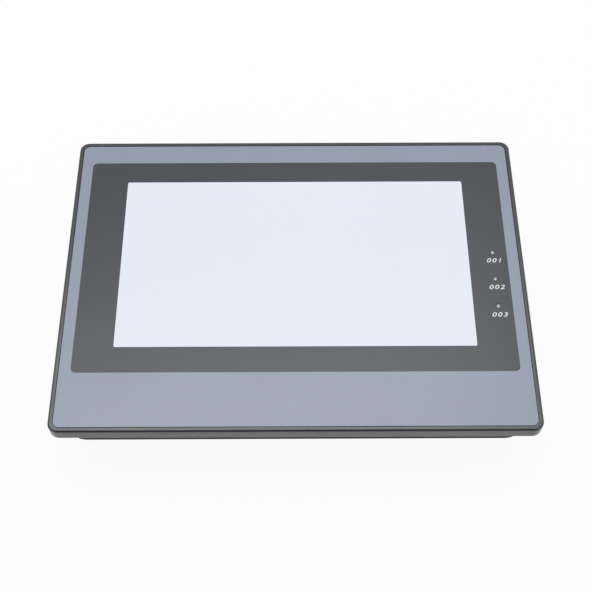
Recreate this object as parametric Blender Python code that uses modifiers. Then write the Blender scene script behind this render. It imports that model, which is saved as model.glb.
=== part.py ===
"""Seven-inch operator touch panel for a control cabinet door.

Metres, +Z up. The panel lies on its back: +Z points out of the screen, +Y to the top of the screen,
+X to its right. The origin is the middle of the back, so the back stands on Z = 0.
The object is drawn from the inside out: every outline is the screen plus named margins, and every
level is the level behind it plus a named thickness.
"""

import math

import bmesh
import bpy
from mathutils import Vector

# Front, as seen: screen window, dark mask round it, light border, plastic rim
WINDOW_WIDTH = 0.1530
WINDOW_HEIGHT = 0.0853
MASK_SIDE = 0.0169
MASK_TOP = 0.0110
MASK_BOTTOM = 0.01195
BORDER_SIDE = 0.00485
BORDER_TOP = 0.0098
BORDER_BOTTOM = 0.02445
RIM_WIDTH = 0.0022
RIM_GROOVE = 0.0003
BEZEL_CORNER = 0.0043
OVERLAY_CORNER = 0.0028
MASK_CORNER = 0.0022
WINDOW_CORNER = 0.0007
EDGE_ROUND = 0.0012

# Clearances
SEAT_GAP = 0.0001
SLIDE_GAP = 0.0002
PRINT_GAP = 0.00005
SCREW_GAP = 0.00015

# Levels, from the back to the front
WALL = 0.0022
BOARD_BAY = 0.0134
BOARD_THICKNESS = 0.0016
BOARD_TO_CHASSIS = 0.0070
CHASSIS_SHEET = 0.0010
LCD_DEPTH = 0.0057
LEDGE_THICKNESS = 0.0016
TAPE_THICKNESS = 0.0005
TOUCH_THICKNESS = 0.0019
OVERLAY_THICKNESS = 0.0003
RIM_STEP = 0.0002

# Bezel, seen from behind
FLANGE_DEPTH = 0.0065
FACE_PLATE = 0.0025
LEDGE_WIDTH = 0.0035
POCKET_GAP = 0.0002
POCKET_WALL = 0.0024
GASKET_WIDTH = 0.0025
GASKET_THICKNESS = 0.0015
GASKET_GROOVE = 0.0009
GASKET_LIP = 0.00135

# Rear housing: a collar that goes through the cut-out, and a smaller box behind it
FLANGE_WIDTH = 0.0046
COLLAR_DEPTH = 0.0131
COLLAR_CORNER = 0.0080
BOX_SIDE_STEP = 0.01085
BOX_TOP_STEP = 0.00735
BOX_BOTTOM_STEP = 0.01985
BOX_CORNER = 0.0060
BOX_EDGE = 0.0020
VENT_COUNT = 9
VENT_WIDTH = 0.0022
VENT_LENGTH = 0.0240
VENT_PITCH = 0.0052
VENT_FROM_TOP = 0.0240
VENT_FROM_SIDE = 0.0430
LABEL_WIDTH = 0.0640
LABEL_HEIGHT = 0.0300
LABEL_RECESS = 0.0004
LABEL_FROM_BOTTOM = 0.0120
CLIP_SLOT_WIDTH = 0.0110
CLIP_SLOT_DEPTH = 0.0050
CLIP_SLOT_FROM_SIDE = 0.03385
CLIP_SLOT_FROM_FLANGE = 0.0034

# Screen module
TOUCH_BORDER_SIDE = 0.0060
TOUCH_BORDER_TOP = 0.00735
LCD_SHEET = 0.0006
LCD_FRAME_LIP = 0.0040
LCD_CELL = 0.0020
CHASSIS_MARGIN = 0.0015

# Screws and the posts that take them
POST_RADIUS = 0.0032
HOUSING_POST_IN = 0.00695
SMALL_POST_RADIUS = 0.0025
CHASSIS_POST_OUT = 0.0058
CHASSIS_POST_TOP_IN = 0.0178
CHASSIS_POST_BOTTOM_IN = 0.0102
CHASSIS_TAB = 0.0080
STANDOFF_IN_X = 0.0080
STANDOFF_IN_TOP = 0.0070
STANDOFF_IN_BOTTOM = 0.0260
HOUSING_SCREW_RADIUS = 0.0013
SMALL_SCREW_RADIUS = 0.0010
SCREW_HEAD_RADIUS = 0.0027
SCREW_HEAD_HEIGHT = 0.0019
SCREW_BITE = 0.0060
CROSS_WIDTH = 0.0008
CROSS_LENGTH = 0.0030
CROSS_DEPTH = 0.0009

# Status lamps
LAMP_FROM_MASK_EDGE = 0.0061
LAMP_OVER_MIDDLE = 0.00385
LAMP_PITCH = 0.01365
LAMP_COUNT = 3
LAMP_RADIUS = 0.0010
LAMP_SHOULDER = 0.0017
LAMP_SHOULDER_DEPTH = 0.0014
LAMP_DOME = 0.0003
LAMP_BOARD_WIDTH = 0.0074
LAMP_BOARD_THICKNESS = 0.0012
LAMP_BOARD_POST = 0.0054
LAMP_BOARD_END = 0.0028
LAMP_PIN_RADIUS = 0.0008
LED_SIZE = 0.0016
LED_HEIGHT = 0.0008
LED_GAP = 0.0004

# Main board and what stands on it
BOARD_EDGE_GAP = 0.0004
BOARD_SIDE_GAP = 0.0028
PROCESSOR_SIDE = 0.0170
PROCESSOR_HEIGHT = 0.0015
HEAT_SINK_SIDE = 0.0280
HEAT_SINK_BASE = 0.0020
HEAT_SINK_FIN = 0.0050
FIN_COUNT = 7
FIN_WIDTH = 0.0014
MEMORY_SIZE = (0.0130, 0.0090, 0.0011)
CELL_RADIUS = 0.0100
CELL_THICKNESS = 0.0032
CELL_HOLDER_WALL = 0.0012
CELL_HOLDER_FLOOR = 0.0010
BUZZER_RADIUS = 0.0060
BUZZER_HEIGHT = 0.0085
BUZZER_HOLE = 0.0010
CAPACITOR_RADIUS = 0.0040
CAPACITOR_HEIGHT = 0.0100
PROCESSOR_LEFT = 0.0120
MEMORY_RIGHT = 0.0160
PROCESSOR_IN = 0.0385
CELL_IN = (0.0300, 0.0265)
BUZZER_IN = (0.0240, 0.0225)
CAPACITOR_IN = (0.0240, 0.0505)

# Flat cables
RIBBON_THICKNESS = 0.0003
LCD_RIBBON_WIDTH = 0.0205
LCD_RIBBON_X = -0.0250
TOUCH_RIBBON_WIDTH = 0.0070
TOUCH_RIBBON_X = 0.0150
LAMP_RIBBON_WIDTH = 0.0050
RIBBON_SOCKET_DEPTH = 0.0040
RIBBON_SOCKET_HEIGHT = 0.0018
RIBBON_SOCKET_SIDE = 0.0015
RIBBON_SOCKET_IN = 0.0075
RIBBON_NOTCH_SIDE = 0.0010

# Sockets along the lower wall of the box, in a row from left to right
SOCKET_END = 0.00332
SOCKET_PROUD = 0.0005
HOLE_GAP = 0.0003
POLE_COUNT = 3
POLE_PITCH = 0.00508
POWER_WIDTH = 0.0176
POWER_HEIGHT = 0.0100
POWER_DEPTH = 0.0120
POWER_WALL = 0.0010
POWER_PIN_RADIUS = 0.0006
POWER_PIN_LENGTH = 0.0070
PLUG_NOSE = 0.0086
PLUG_BODY = 0.0110
PLUG_DROP = 0.0008
SERIAL_WIDTH = 0.0308
SERIAL_HEIGHT = 0.0125
SERIAL_FLANGE = 0.0010
SERIAL_SHELL_SIDE = 0.00695
SERIAL_SHELL_HEIGHT = 0.0083
SERIAL_SHELL_LENGTH = 0.0058
SERIAL_SHELL_WALL = 0.0006
SERIAL_SHELL_SLANT = 0.0014
SERIAL_BODY_SIDE = 0.0059
SERIAL_BODY_HEIGHT = 0.0100
SERIAL_BODY_DEPTH = 0.0105
SERIAL_PIN_RADIUS = 0.0005
SERIAL_PIN_PITCH = 0.00277
SERIAL_PIN_ROW = 0.00284
SERIAL_SCREW_EDGE = 0.0029
JACK_SCREW_RADIUS = 0.0027
JACK_SCREW_LENGTH = 0.0050
JACK_SCREW_BORE = 0.0013
JACK_STEM_RADIUS = 0.0013
JACK_STEM_LENGTH = 0.0040
ETHERNET_WIDTH = 0.0162
ETHERNET_HEIGHT = 0.0132
ETHERNET_DEPTH = 0.0180
ETHERNET_CAVITY = (0.0119, 0.0140, 0.0078)
ETHERNET_LATCH = (0.0062, 0.0110, 0.0022)
USB_WIDTH = 0.0144
USB_HEIGHT = 0.0070
USB_DEPTH = 0.0140
USB_WALL = 0.0008
USB_BACK = 0.0030
USB_TONGUE = 0.0019
MINI_USB_WIDTH = 0.0080
MINI_USB_HEIGHT = 0.0042
MINI_USB_DEPTH = 0.0090
MINI_USB_WALL = 0.0005
MINI_USB_TONGUE = 0.0008
DIP_COUNT = 4
DIP_PITCH = 0.00254
DIP_END = 0.0008
DIP_HEIGHT = 0.0080
DIP_DEPTH = 0.0070
DIP_SLIDER_WIDTH = 0.0012
DIP_SLIDER_HEIGHT = 0.0018
DIP_SLIDER_PROUD = 0.0008
DIP_TRAVEL = 0.0018
DIP_SLOT_DEPTH = 0.0012
RESET_WIDTH = 0.0062
RESET_HEIGHT = 0.0062
RESET_DEPTH = 0.0040
RESET_RADIUS = 0.0016
RESET_TRAVEL = 0.0003
RESET_SEAT = 0.0012
RESET_PROUD = 0.0006

# Wire clamps in the power plug
CLAMP_WIDTH = 0.0038
CLAMP_LENGTH = 0.0042
CLAMP_HEIGHT = 0.0050
CLAMP_WALL = 0.0005
CLAMP_TRAVEL = 0.0018
CLAMP_FROM_FRONT = 0.0012
WIRE_ENTRY = 0.0032
WIRE_FUNNEL = 0.0006
TERMINAL_HEAD_RADIUS = 0.0017
TERMINAL_HEAD_HEIGHT = 0.0014
TERMINAL_STEM_RADIUS = 0.0009
TERMINAL_WEB = 0.0005
TERMINAL_SUNK = 0.0002
SLOT_WIDTH = 0.0006
SLOT_DEPTH = 0.0007

# Facets
CORNER_STEPS = 5
EDGE_STEPS = 3
ROUND_SIDES = 16
PIN_SIDES = 8
THROUGH = 0.0010

# Outlines that follow from the sizes above
MASK_WIDTH = WINDOW_WIDTH + 2 * MASK_SIDE
OVERLAY_WIDTH = MASK_WIDTH + 2 * BORDER_SIDE
OVERLAY_HEIGHT = WINDOW_HEIGHT + MASK_TOP + MASK_BOTTOM + BORDER_TOP + BORDER_BOTTOM
BEZEL_WIDTH = OVERLAY_WIDTH + 2 * RIM_WIDTH
BEZEL_HEIGHT = OVERLAY_HEIGHT + 2 * RIM_WIDTH
COLLAR_WIDTH = BEZEL_WIDTH - 2 * FLANGE_WIDTH
COLLAR_HEIGHT = BEZEL_HEIGHT - 2 * FLANGE_WIDTH
MASK_HIGH = OVERLAY_HEIGHT / 2 - BORDER_TOP
MASK_LOW = -OVERLAY_HEIGHT / 2 + BORDER_BOTTOM
WINDOW_HIGH = MASK_HIGH - MASK_TOP
WINDOW_LOW = MASK_LOW + MASK_BOTTOM
WINDOW_Y = (WINDOW_HIGH + WINDOW_LOW) / 2
TOUCH_WIDTH = WINDOW_WIDTH + 2 * TOUCH_BORDER_SIDE
TOUCH_HEIGHT = WINDOW_HEIGHT + 2 * TOUCH_BORDER_TOP
TOUCH_LOW = WINDOW_Y - TOUCH_HEIGHT / 2
TOUCH_HIGH = WINDOW_Y + TOUCH_HEIGHT / 2
BOX_HALF = COLLAR_WIDTH / 2 - BOX_SIDE_STEP
BOX_HIGH = COLLAR_HEIGHT / 2 - BOX_TOP_STEP
BOX_LOW = -COLLAR_HEIGHT / 2 + BOX_BOTTOM_STEP

# Levels that follow from the thicknesses above
BOARD_BACK = WALL + BOARD_BAY
BOARD_FRONT = BOARD_BACK + BOARD_THICKNESS
CHASSIS_BACK = BOARD_FRONT + BOARD_TO_CHASSIS
CHASSIS_FRONT = CHASSIS_BACK + CHASSIS_SHEET
LCD_BACK = CHASSIS_FRONT + SEAT_GAP
LCD_FRONT = LCD_BACK + LCD_DEPTH
LEDGE_BACK = LCD_FRONT + SEAT_GAP
LEDGE_FRONT = LEDGE_BACK + LEDGE_THICKNESS
TAPE_BACK = LEDGE_FRONT + SEAT_GAP
TOUCH_BACK = TAPE_BACK + TAPE_THICKNESS + SEAT_GAP
TOUCH_FRONT = TOUCH_BACK + TOUCH_THICKNESS
FACE = TOUCH_FRONT + SEAT_GAP
OVERLAY_BACK = FACE + SEAT_GAP
OVERLAY_FRONT = OVERLAY_BACK + OVERLAY_THICKNESS
RIM_FRONT = OVERLAY_FRONT + RIM_STEP
FLANGE_BACK = RIM_FRONT - FLANGE_DEPTH
COLLAR_BACK = FLANGE_BACK - COLLAR_DEPTH
PLATE_BACK = FACE - FACE_PLATE
LAMP_BOARD_FRONT = PLATE_BACK - LAMP_BOARD_POST
LAMP_BOARD_BACK = LAMP_BOARD_FRONT - LAMP_BOARD_THICKNESS
CONNECTOR_SEAT = BOARD_BACK - SEAT_GAP
WALL_OUT = BOX_LOW
WALL_IN = BOX_LOW + WALL
LAMP_X = MASK_WIDTH / 2 - LAMP_FROM_MASK_EDGE
SERIAL_SHELL_WIDTH = SERIAL_WIDTH - 2 * SERIAL_SHELL_SIDE
SERIAL_BODY_WIDTH = SERIAL_WIDTH - 2 * SERIAL_BODY_SIDE
SERIAL_SCREW_X = SERIAL_WIDTH / 2 - SERIAL_SCREW_EDGE

# Colours and finishes: colour, roughness, metallic
FINISHES = {
    "bezel_plastic": ((0.060, 0.062, 0.068), 0.38, 0.0),
    "overlay_light": ((0.370, 0.395, 0.470), 0.42, 0.0),
    "overlay_dark": ((0.095, 0.098, 0.108), 0.42, 0.0),
    "screen_glass": ((0.800, 0.830, 0.920), 0.15, 0.0),
    "clear_acrylic": ((0.620, 0.630, 0.640), 0.20, 0.0),
    "foam_tape": ((0.020, 0.020, 0.022), 0.90, 0.0),
    "seal_rubber": ((0.018, 0.018, 0.020), 0.80, 0.0),
    "housing_plastic": ((0.045, 0.047, 0.050), 0.55, 0.0),
    "sheet_steel": ((0.560, 0.570, 0.580), 0.35, 1.0),
    "screw_steel": ((0.480, 0.480, 0.490), 0.30, 1.0),
    "light_guide": ((0.780, 0.790, 0.800), 0.30, 0.0),
    "board_green": ((0.015, 0.120, 0.050), 0.45, 0.0),
    "chip_black": ((0.020, 0.020, 0.022), 0.50, 0.0),
    "fin_aluminium": ((0.700, 0.710, 0.720), 0.35, 1.0),
    "cell_steel": ((0.620, 0.620, 0.630), 0.25, 1.0),
    "ribbon_film": ((0.650, 0.430, 0.130), 0.40, 0.0),
    "terminal_green": ((0.030, 0.250, 0.085), 0.45, 0.0),
    "connector_metal": ((0.600, 0.600, 0.610), 0.30, 1.0),
    "switch_red": ((0.420, 0.030, 0.030), 0.45, 0.0),
    "slider_white": ((0.780, 0.780, 0.760), 0.45, 0.0),
}


def clear_scene():
    for obj in list(bpy.data.objects):
        bpy.data.objects.remove(obj)


def new_collection(name):
    found = bpy.data.collections.new(name)
    bpy.context.scene.collection.children.link(found)
    return found


def finish(name):
    """The Principled material of that name, made once."""
    found = bpy.data.materials.get(name)
    if found:
        return found
    colour, roughness, metallic = FINISHES[name]
    found = bpy.data.materials.new(name)
    found.use_nodes = True
    shader = found.node_tree.nodes["Principled BSDF"]
    shader.inputs["Base Color"].default_value = (*colour, 1.0)
    shader.inputs["Roughness"].default_value = roughness
    shader.inputs["Metallic"].default_value = metallic
    return found


def piece(name, mesh, centre, material=None):
    """An object at centre. With a material it is a sub-part, and without one it is a cutter."""
    obj = bpy.data.objects.new(name, mesh)
    obj.location = centre
    if material:
        mesh.materials.append(finish(material))
        mesh.shade_smooth()
        mesh.set_sharp_from_angle(angle=math.radians(35))
        PARTS.objects.link(obj)
    else:
        obj.hide_render = True
        obj.display_type = "WIRE"
        CUTTERS.objects.link(obj)
    return obj


def box_mesh(name, size, corner=0.0, axis=2, front_round=0.0, back_round=0.0):
    """A box round its own centre, with its edges along axis rounded, and its front and back rims too."""
    mesh = bpy.data.meshes.new(name)
    work = bmesh.new()
    bmesh.ops.create_cube(work, size=1.0)
    bmesh.ops.scale(work, vec=size, verts=work.verts)
    if corner:
        along = [e for e in work.edges if abs((e.verts[0].co - e.verts[1].co)[axis]) > size[axis] / 2]
        bmesh.ops.bevel(work, geom=along, offset=corner, segments=CORNER_STEPS, profile=0.5, affect="EDGES")
    for radius, side in ((front_round, 1), (back_round, -1)):
        if radius:
            level = side * size[axis] / 2
            rim = [e for e in work.edges if all(abs(v.co[axis] - level) < 1e-6 for v in e.verts)]
            bmesh.ops.bevel(work, geom=rim, offset=radius, segments=EDGE_STEPS, profile=0.5, affect="EDGES")
    work.to_mesh(mesh)
    work.free()
    return mesh


def box(name, low, high, material=None, **rounding):
    """A box between two corners."""
    low, high = Vector(low), Vector(high)
    return piece(name, box_mesh(name, high - low, **rounding), (low + high) / 2, material)


def plate(name, width, height, y, back, front, material=None, **rounding):
    """A box that lies in the plane of the screen, centred on X = 0."""
    low = (-width / 2, y - height / 2, back)
    high = (width / 2, y + height / 2, front)
    return box(name, low, high, material, **rounding)


def rod(name, radius, start, end, material=None, sides=ROUND_SIDES):
    """A round bar between two points."""
    start, end = Vector(start), Vector(end)
    along = end - start
    mesh = bpy.data.meshes.new(name)
    work = bmesh.new()
    bmesh.ops.create_cone(
        work, cap_ends=True, segments=sides, radius1=radius, radius2=radius, depth=along.length
    )
    turn = Vector((0, 0, 1)).rotation_difference(along.normalized()).to_matrix()
    bmesh.ops.rotate(work, cent=(0, 0, 0), matrix=turn, verts=work.verts)
    work.to_mesh(mesh)
    work.free()
    return piece(name, mesh, (start + end) / 2, material)


def upright(name, radius, x, y, low, high, material=None, sides=ROUND_SIDES):
    """A round bar along Z."""
    return rod(name, radius, (x, y, low), (x, y, high), material, sides)


def turned(name, profile, base, along, material=None, sides=ROUND_SIDES):
    """A profile of (radius, height) points, from its top to its bottom, turned about the line along."""
    mesh = bpy.data.meshes.new(name)
    work = bmesh.new()
    points = [work.verts.new((radius, 0.0, height)) for radius, height in profile]
    for first, second in zip(points, points[1:]):
        work.edges.new((first, second))
    work.to_mesh(mesh)
    work.free()
    obj = piece(name, mesh, base, material)
    obj.rotation_euler = Vector((0, 0, 1)).rotation_difference(Vector(along)).to_euler()
    screw = obj.modifiers.new("turn", "SCREW")
    screw.steps = screw.render_steps = sides
    screw.use_merge_vertices = True
    screw.merge_threshold = 0.00001
    return obj


def boolean(target, other, operation):
    change = target.modifiers.new(other.name, "BOOLEAN")
    change.operation = operation
    change.object = other
    return target


def cut(target, *cutters):
    for cutter in cutters:
        boolean(target, cutter, "DIFFERENCE")
    return target


def add(target, *others):
    for other in others:
        boolean(target, other, "UNION")
    return target


def frame_ring(name, outer, inner, y_outer, y_inner, back, front, corners, material=None):
    """A flat ring: an outer outline less an inner one, both (width, height)."""
    ring = plate(name, *outer, y_outer, back, front, material, corner=corners[0])
    hole = plate(name + "_hole", *inner, y_inner, back - THROUGH, front + THROUGH, corner=corners[1])
    return cut(ring, hole)


def cross_screw(name, stem_radius, stem_length, seat, material="screw_steel"):
    """A pan-head screw put in from behind: its head is under seat, and its stem points to +Z."""
    head = SCREW_HEAD_HEIGHT
    profile = [
        (0.0, stem_length),
        (stem_radius * 0.6, stem_length),
        (stem_radius, stem_length - stem_radius),
        (stem_radius, 0.0),
        (SCREW_HEAD_RADIUS, 0.0),
        (SCREW_HEAD_RADIUS, -head * 0.5),
        (SCREW_HEAD_RADIUS * 0.75, -head),
        (0.0, -head),
    ]
    screw = turned(name, profile, seat, (0, 0, 1), material)
    bottom = Vector(seat) - Vector((0, 0, head))
    for label, half in (("a", (CROSS_LENGTH / 2, CROSS_WIDTH / 2)),
                        ("b", (CROSS_WIDTH / 2, CROSS_LENGTH / 2))):
        reach = Vector((*half, 0.0))
        slot = box(f"{name}_slot_{label}", bottom - reach - Vector((0, 0, THROUGH)),
                   bottom + reach + Vector((0, 0, CROSS_DEPTH)))
        cut(screw, slot)
    return screw


def ribbon(name, path, across, width, material="ribbon_film"):
    """A flat cable: a line of points swept sideways along the axis across, then given its thickness."""
    mesh = bpy.data.meshes.new(name)
    work = bmesh.new()
    side = Vector((0, 0, 0))
    side[across] = width / 2
    line = [work.verts.new(Vector(p) - side) for p in path]
    edges = [work.edges.new(pair) for pair in zip(line, line[1:])]
    made = bmesh.ops.extrude_edge_only(work, edges=edges)
    moved = [g for g in made["geom"] if isinstance(g, bmesh.types.BMVert)]
    bmesh.ops.translate(work, vec=2 * side, verts=moved)
    bmesh.ops.recalc_face_normals(work, faces=work.faces)
    work.to_mesh(mesh)
    work.free()
    obj = piece(name, mesh, (0, 0, 0), material)
    thick = obj.modifiers.new("thickness", "SOLIDIFY")
    thick.thickness = RIBBON_THICKNESS
    thick.offset = 0.0
    return obj


def smooth_path(points, steps=4):
    """Points on a curve through the given ones, so that a flat cable bends and does not fold."""
    found = []
    ends = [points[0], *points, points[-1]]
    for a, b, c, d in zip(ends, ends[1:], ends[2:], ends[3:]):
        a, b, c, d = (Vector(p) for p in (a, b, c, d))
        for k in range(steps):
            t = k / steps
            bend = 2 * b + (c - a) * t + (2 * a - 5 * b + 4 * c - d) * t**2 + (3 * b - a - 3 * c + d) * t**3
            found.append(bend / 2)
    return [*found, Vector(points[-1])]


def corners_of(x, low, high):
    """The four points (-x, low), (x, low), (-x, high) and (x, high)."""
    return [(sign * x, y) for y in (low, high) for sign in (-1, 1)]


def lamp_places():
    top = WINDOW_Y + LAMP_OVER_MIDDLE
    return [(LAMP_X, top - k * LAMP_PITCH) for k in range(LAMP_COUNT)]


def housing_posts():
    x = COLLAR_WIDTH / 2 - HOUSING_POST_IN
    y = COLLAR_HEIGHT / 2 - HOUSING_POST_IN
    return corners_of(x, -y, y)


def chassis_posts():
    x = TOUCH_WIDTH / 2 + CHASSIS_POST_OUT
    return corners_of(x, TOUCH_LOW + CHASSIS_POST_BOTTOM_IN, TOUCH_HIGH - CHASSIS_POST_TOP_IN)


def board_box():
    """Half width, low edge and high edge of the main board."""
    half = BOX_HALF - WALL - BOARD_SIDE_GAP
    return half, WALL_IN + BOARD_EDGE_GAP, BOX_HIGH - WALL - BOARD_SIDE_GAP


def standoffs():
    half, low, high = board_box()
    return corners_of(half - STANDOFF_IN_X, low + STANDOFF_IN_BOTTOM, high - STANDOFF_IN_TOP)


def lamp_board_ends():
    """Low and high Y of the two posts that carry the lamp board."""
    places = [y for _, y in lamp_places()]
    return min(places) - LAMP_BOARD_POST, max(places) + LAMP_BOARD_POST


def make_front_bezel():
    bezel = plate("front_bezel", BEZEL_WIDTH, BEZEL_HEIGHT, 0, FLANGE_BACK, RIM_FRONT, "bezel_plastic",
                  corner=BEZEL_CORNER, front_round=EDGE_ROUND)
    groove = 2 * RIM_GROOVE
    recess = plate("recess", OVERLAY_WIDTH + groove, OVERLAY_HEIGHT + groove, 0, FACE, RIM_FRONT + THROUGH,
                   corner=OVERLAY_CORNER + RIM_GROOVE)
    pocket = 2 * POCKET_GAP
    touch_hole = plate("touch_hole", TOUCH_WIDTH + pocket, TOUCH_HEIGHT + pocket, WINDOW_Y,
                       LEDGE_FRONT, FACE + THROUGH)
    lcd_hole = plate("lcd_hole", TOUCH_WIDTH + pocket, TOUCH_HEIGHT + pocket, WINDOW_Y,
                     FLANGE_BACK - THROUGH, LEDGE_BACK)
    ledge = 2 * (TOUCH_BORDER_SIDE - LEDGE_WIDTH), 2 * (TOUCH_BORDER_TOP - LEDGE_WIDTH)
    view_hole = plate("view_hole", WINDOW_WIDTH + ledge[0], WINDOW_HEIGHT + ledge[1], WINDOW_Y,
                      LEDGE_BACK - THROUGH, LEDGE_FRONT + THROUGH)
    wall = 2 * (POCKET_GAP + POCKET_WALL)
    hollow = frame_ring(
        "hollow",
        (COLLAR_WIDTH - 2 * WALL, COLLAR_HEIGHT - 2 * WALL),
        (TOUCH_WIDTH + wall, TOUCH_HEIGHT + wall),
        0, WINDOW_Y, FLANGE_BACK - THROUGH, PLATE_BACK, (COLLAR_CORNER - WALL, 0),
    )
    gasket = 2 * (GASKET_LIP - SLIDE_GAP), 2 * (GASKET_LIP + GASKET_WIDTH + SLIDE_GAP)
    groove_ring = frame_ring(
        "gasket_groove",
        (BEZEL_WIDTH - gasket[0], BEZEL_HEIGHT - gasket[0]),
        (BEZEL_WIDTH - gasket[1], BEZEL_HEIGHT - gasket[1]),
        0, 0, FLANGE_BACK - THROUGH, FLANGE_BACK + GASKET_GROOVE, (BEZEL_CORNER, BEZEL_CORNER),
    )
    cut(bezel, recess, touch_hole, lcd_hole, view_hole, hollow, groove_ring)

    tail = TOUCH_RIBBON_WIDTH / 2 + RIBBON_NOTCH_SIDE
    notch = box("tail_notch", (TOUCH_RIBBON_X - tail, TOUCH_LOW - POCKET_WALL - 2 * THROUGH,
                               FLANGE_BACK - THROUGH),
                (TOUCH_RIBBON_X + tail, TOUCH_LOW, TOUCH_FRONT - THROUGH))
    cut(bezel, notch)

    for k, (x, y) in enumerate(housing_posts()):
        start = COLLAR_BACK + WALL + SEAT_GAP
        add(bezel, upright(f"housing_post_{k}", POST_RADIUS, x, y, start, PLATE_BACK + THROUGH))
        hole = HOUSING_SCREW_RADIUS + SCREW_GAP
        cut(bezel, upright(f"housing_pilot_{k}", hole, x, y, start - THROUGH, start + SCREW_BITE + THROUGH))
    for k, (x, y) in enumerate(chassis_posts()):
        start = CHASSIS_FRONT + SEAT_GAP
        add(bezel, upright(f"chassis_post_{k}", SMALL_POST_RADIUS, x, y, start, PLATE_BACK + THROUGH))
        hole = SMALL_SCREW_RADIUS + SCREW_GAP
        cut(bezel, upright(f"chassis_pilot_{k}", hole, x, y, start - THROUGH, start + SCREW_BITE))
    for k, y in enumerate(lamp_board_ends()):
        seat = LAMP_BOARD_FRONT + SEAT_GAP
        add(bezel, upright(f"lamp_post_{k}", 2 * LAMP_PIN_RADIUS, LAMP_X, y, seat, PLATE_BACK + THROUGH))
        add(bezel, upright(f"lamp_pin_{k}", LAMP_PIN_RADIUS, LAMP_X, y, LAMP_BOARD_BACK - LED_GAP,
                           seat + THROUGH, sides=PIN_SIDES))
    for k, (x, y) in enumerate(lamp_places()):
        cut(bezel, upright(f"lamp_bore_{k}", LAMP_RADIUS + SCREW_GAP, x, y, PLATE_BACK - THROUGH,
                           FACE + THROUGH))


def make_overlay():
    border = (OVERLAY_WIDTH, OVERLAY_HEIGHT)
    mask_y = (MASK_HIGH + MASK_LOW) / 2
    mask = (MASK_WIDTH, MASK_HIGH - MASK_LOW)
    hole = (mask[0] + 2 * PRINT_GAP, mask[1] + 2 * PRINT_GAP)
    frame_ring("overlay_border", border, hole, 0, mask_y, OVERLAY_BACK, OVERLAY_FRONT,
               (OVERLAY_CORNER, MASK_CORNER + PRINT_GAP), "overlay_light")
    film = frame_ring("overlay_mask", mask, (WINDOW_WIDTH, WINDOW_HEIGHT), mask_y, WINDOW_Y,
                      OVERLAY_BACK, OVERLAY_FRONT, (MASK_CORNER, WINDOW_CORNER), "overlay_dark")
    for k, (x, y) in enumerate(lamp_places()):
        cut(film, upright(f"mask_bore_{k}", LAMP_RADIUS + SCREW_GAP, x, y, OVERLAY_BACK - THROUGH,
                          OVERLAY_FRONT + THROUGH))


def make_touch_screen():
    plate("touch_panel", TOUCH_WIDTH, TOUCH_HEIGHT, WINDOW_Y, TOUCH_BACK, TOUCH_FRONT, "screen_glass")
    inner = 2 * (TOUCH_BORDER_SIDE - LEDGE_WIDTH), 2 * (TOUCH_BORDER_TOP - LEDGE_WIDTH)
    frame_ring("touch_tape", (TOUCH_WIDTH, TOUCH_HEIGHT),
               (WINDOW_WIDTH + inner[0], WINDOW_HEIGHT + inner[1]),
               WINDOW_Y, WINDOW_Y, TAPE_BACK, TAPE_BACK + TAPE_THICKNESS, (0, 0), "foam_tape")


def make_display():
    """Sheet-steel frame, glass cell and backlight of the screen module."""
    frame = plate("lcd_frame", TOUCH_WIDTH, TOUCH_HEIGHT, WINDOW_Y, LCD_BACK, LCD_FRONT, "sheet_steel")
    inside = TOUCH_WIDTH - 2 * LCD_SHEET, TOUCH_HEIGHT - 2 * LCD_SHEET
    cavity = plate("lcd_cavity", *inside, WINDOW_Y, LCD_BACK - THROUGH, LCD_FRONT - LCD_SHEET)
    lip = 2 * LCD_FRAME_LIP
    window = plate("lcd_window", TOUCH_WIDTH - lip, TOUCH_HEIGHT - lip, WINDOW_Y, LCD_BACK,
                   LCD_FRONT + THROUGH)
    cut(frame, cavity, window)
    inside = inside[0] - 2 * SEAT_GAP, inside[1] - 2 * SEAT_GAP
    cell_front = LCD_FRONT - LCD_SHEET - SEAT_GAP
    cell_back = cell_front - LCD_CELL
    plate("lcd_cell", *inside, WINDOW_Y, cell_back, cell_front, "screen_glass")
    plate("backlight", *inside, WINDOW_Y, LCD_BACK, cell_back - SEAT_GAP, "light_guide")


def make_panel_gasket():
    outer = 2 * GASKET_LIP
    inner = 2 * (GASKET_LIP + GASKET_WIDTH)
    front = FLANGE_BACK + GASKET_GROOVE - SEAT_GAP
    frame_ring("panel_gasket", (BEZEL_WIDTH - outer, BEZEL_HEIGHT - outer),
               (BEZEL_WIDTH - inner, BEZEL_HEIGHT - inner), 0, 0,
               front - GASKET_THICKNESS, front, (BEZEL_CORNER - SLIDE_GAP,
                                                 BEZEL_CORNER + SLIDE_GAP), "seal_rubber")


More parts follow.
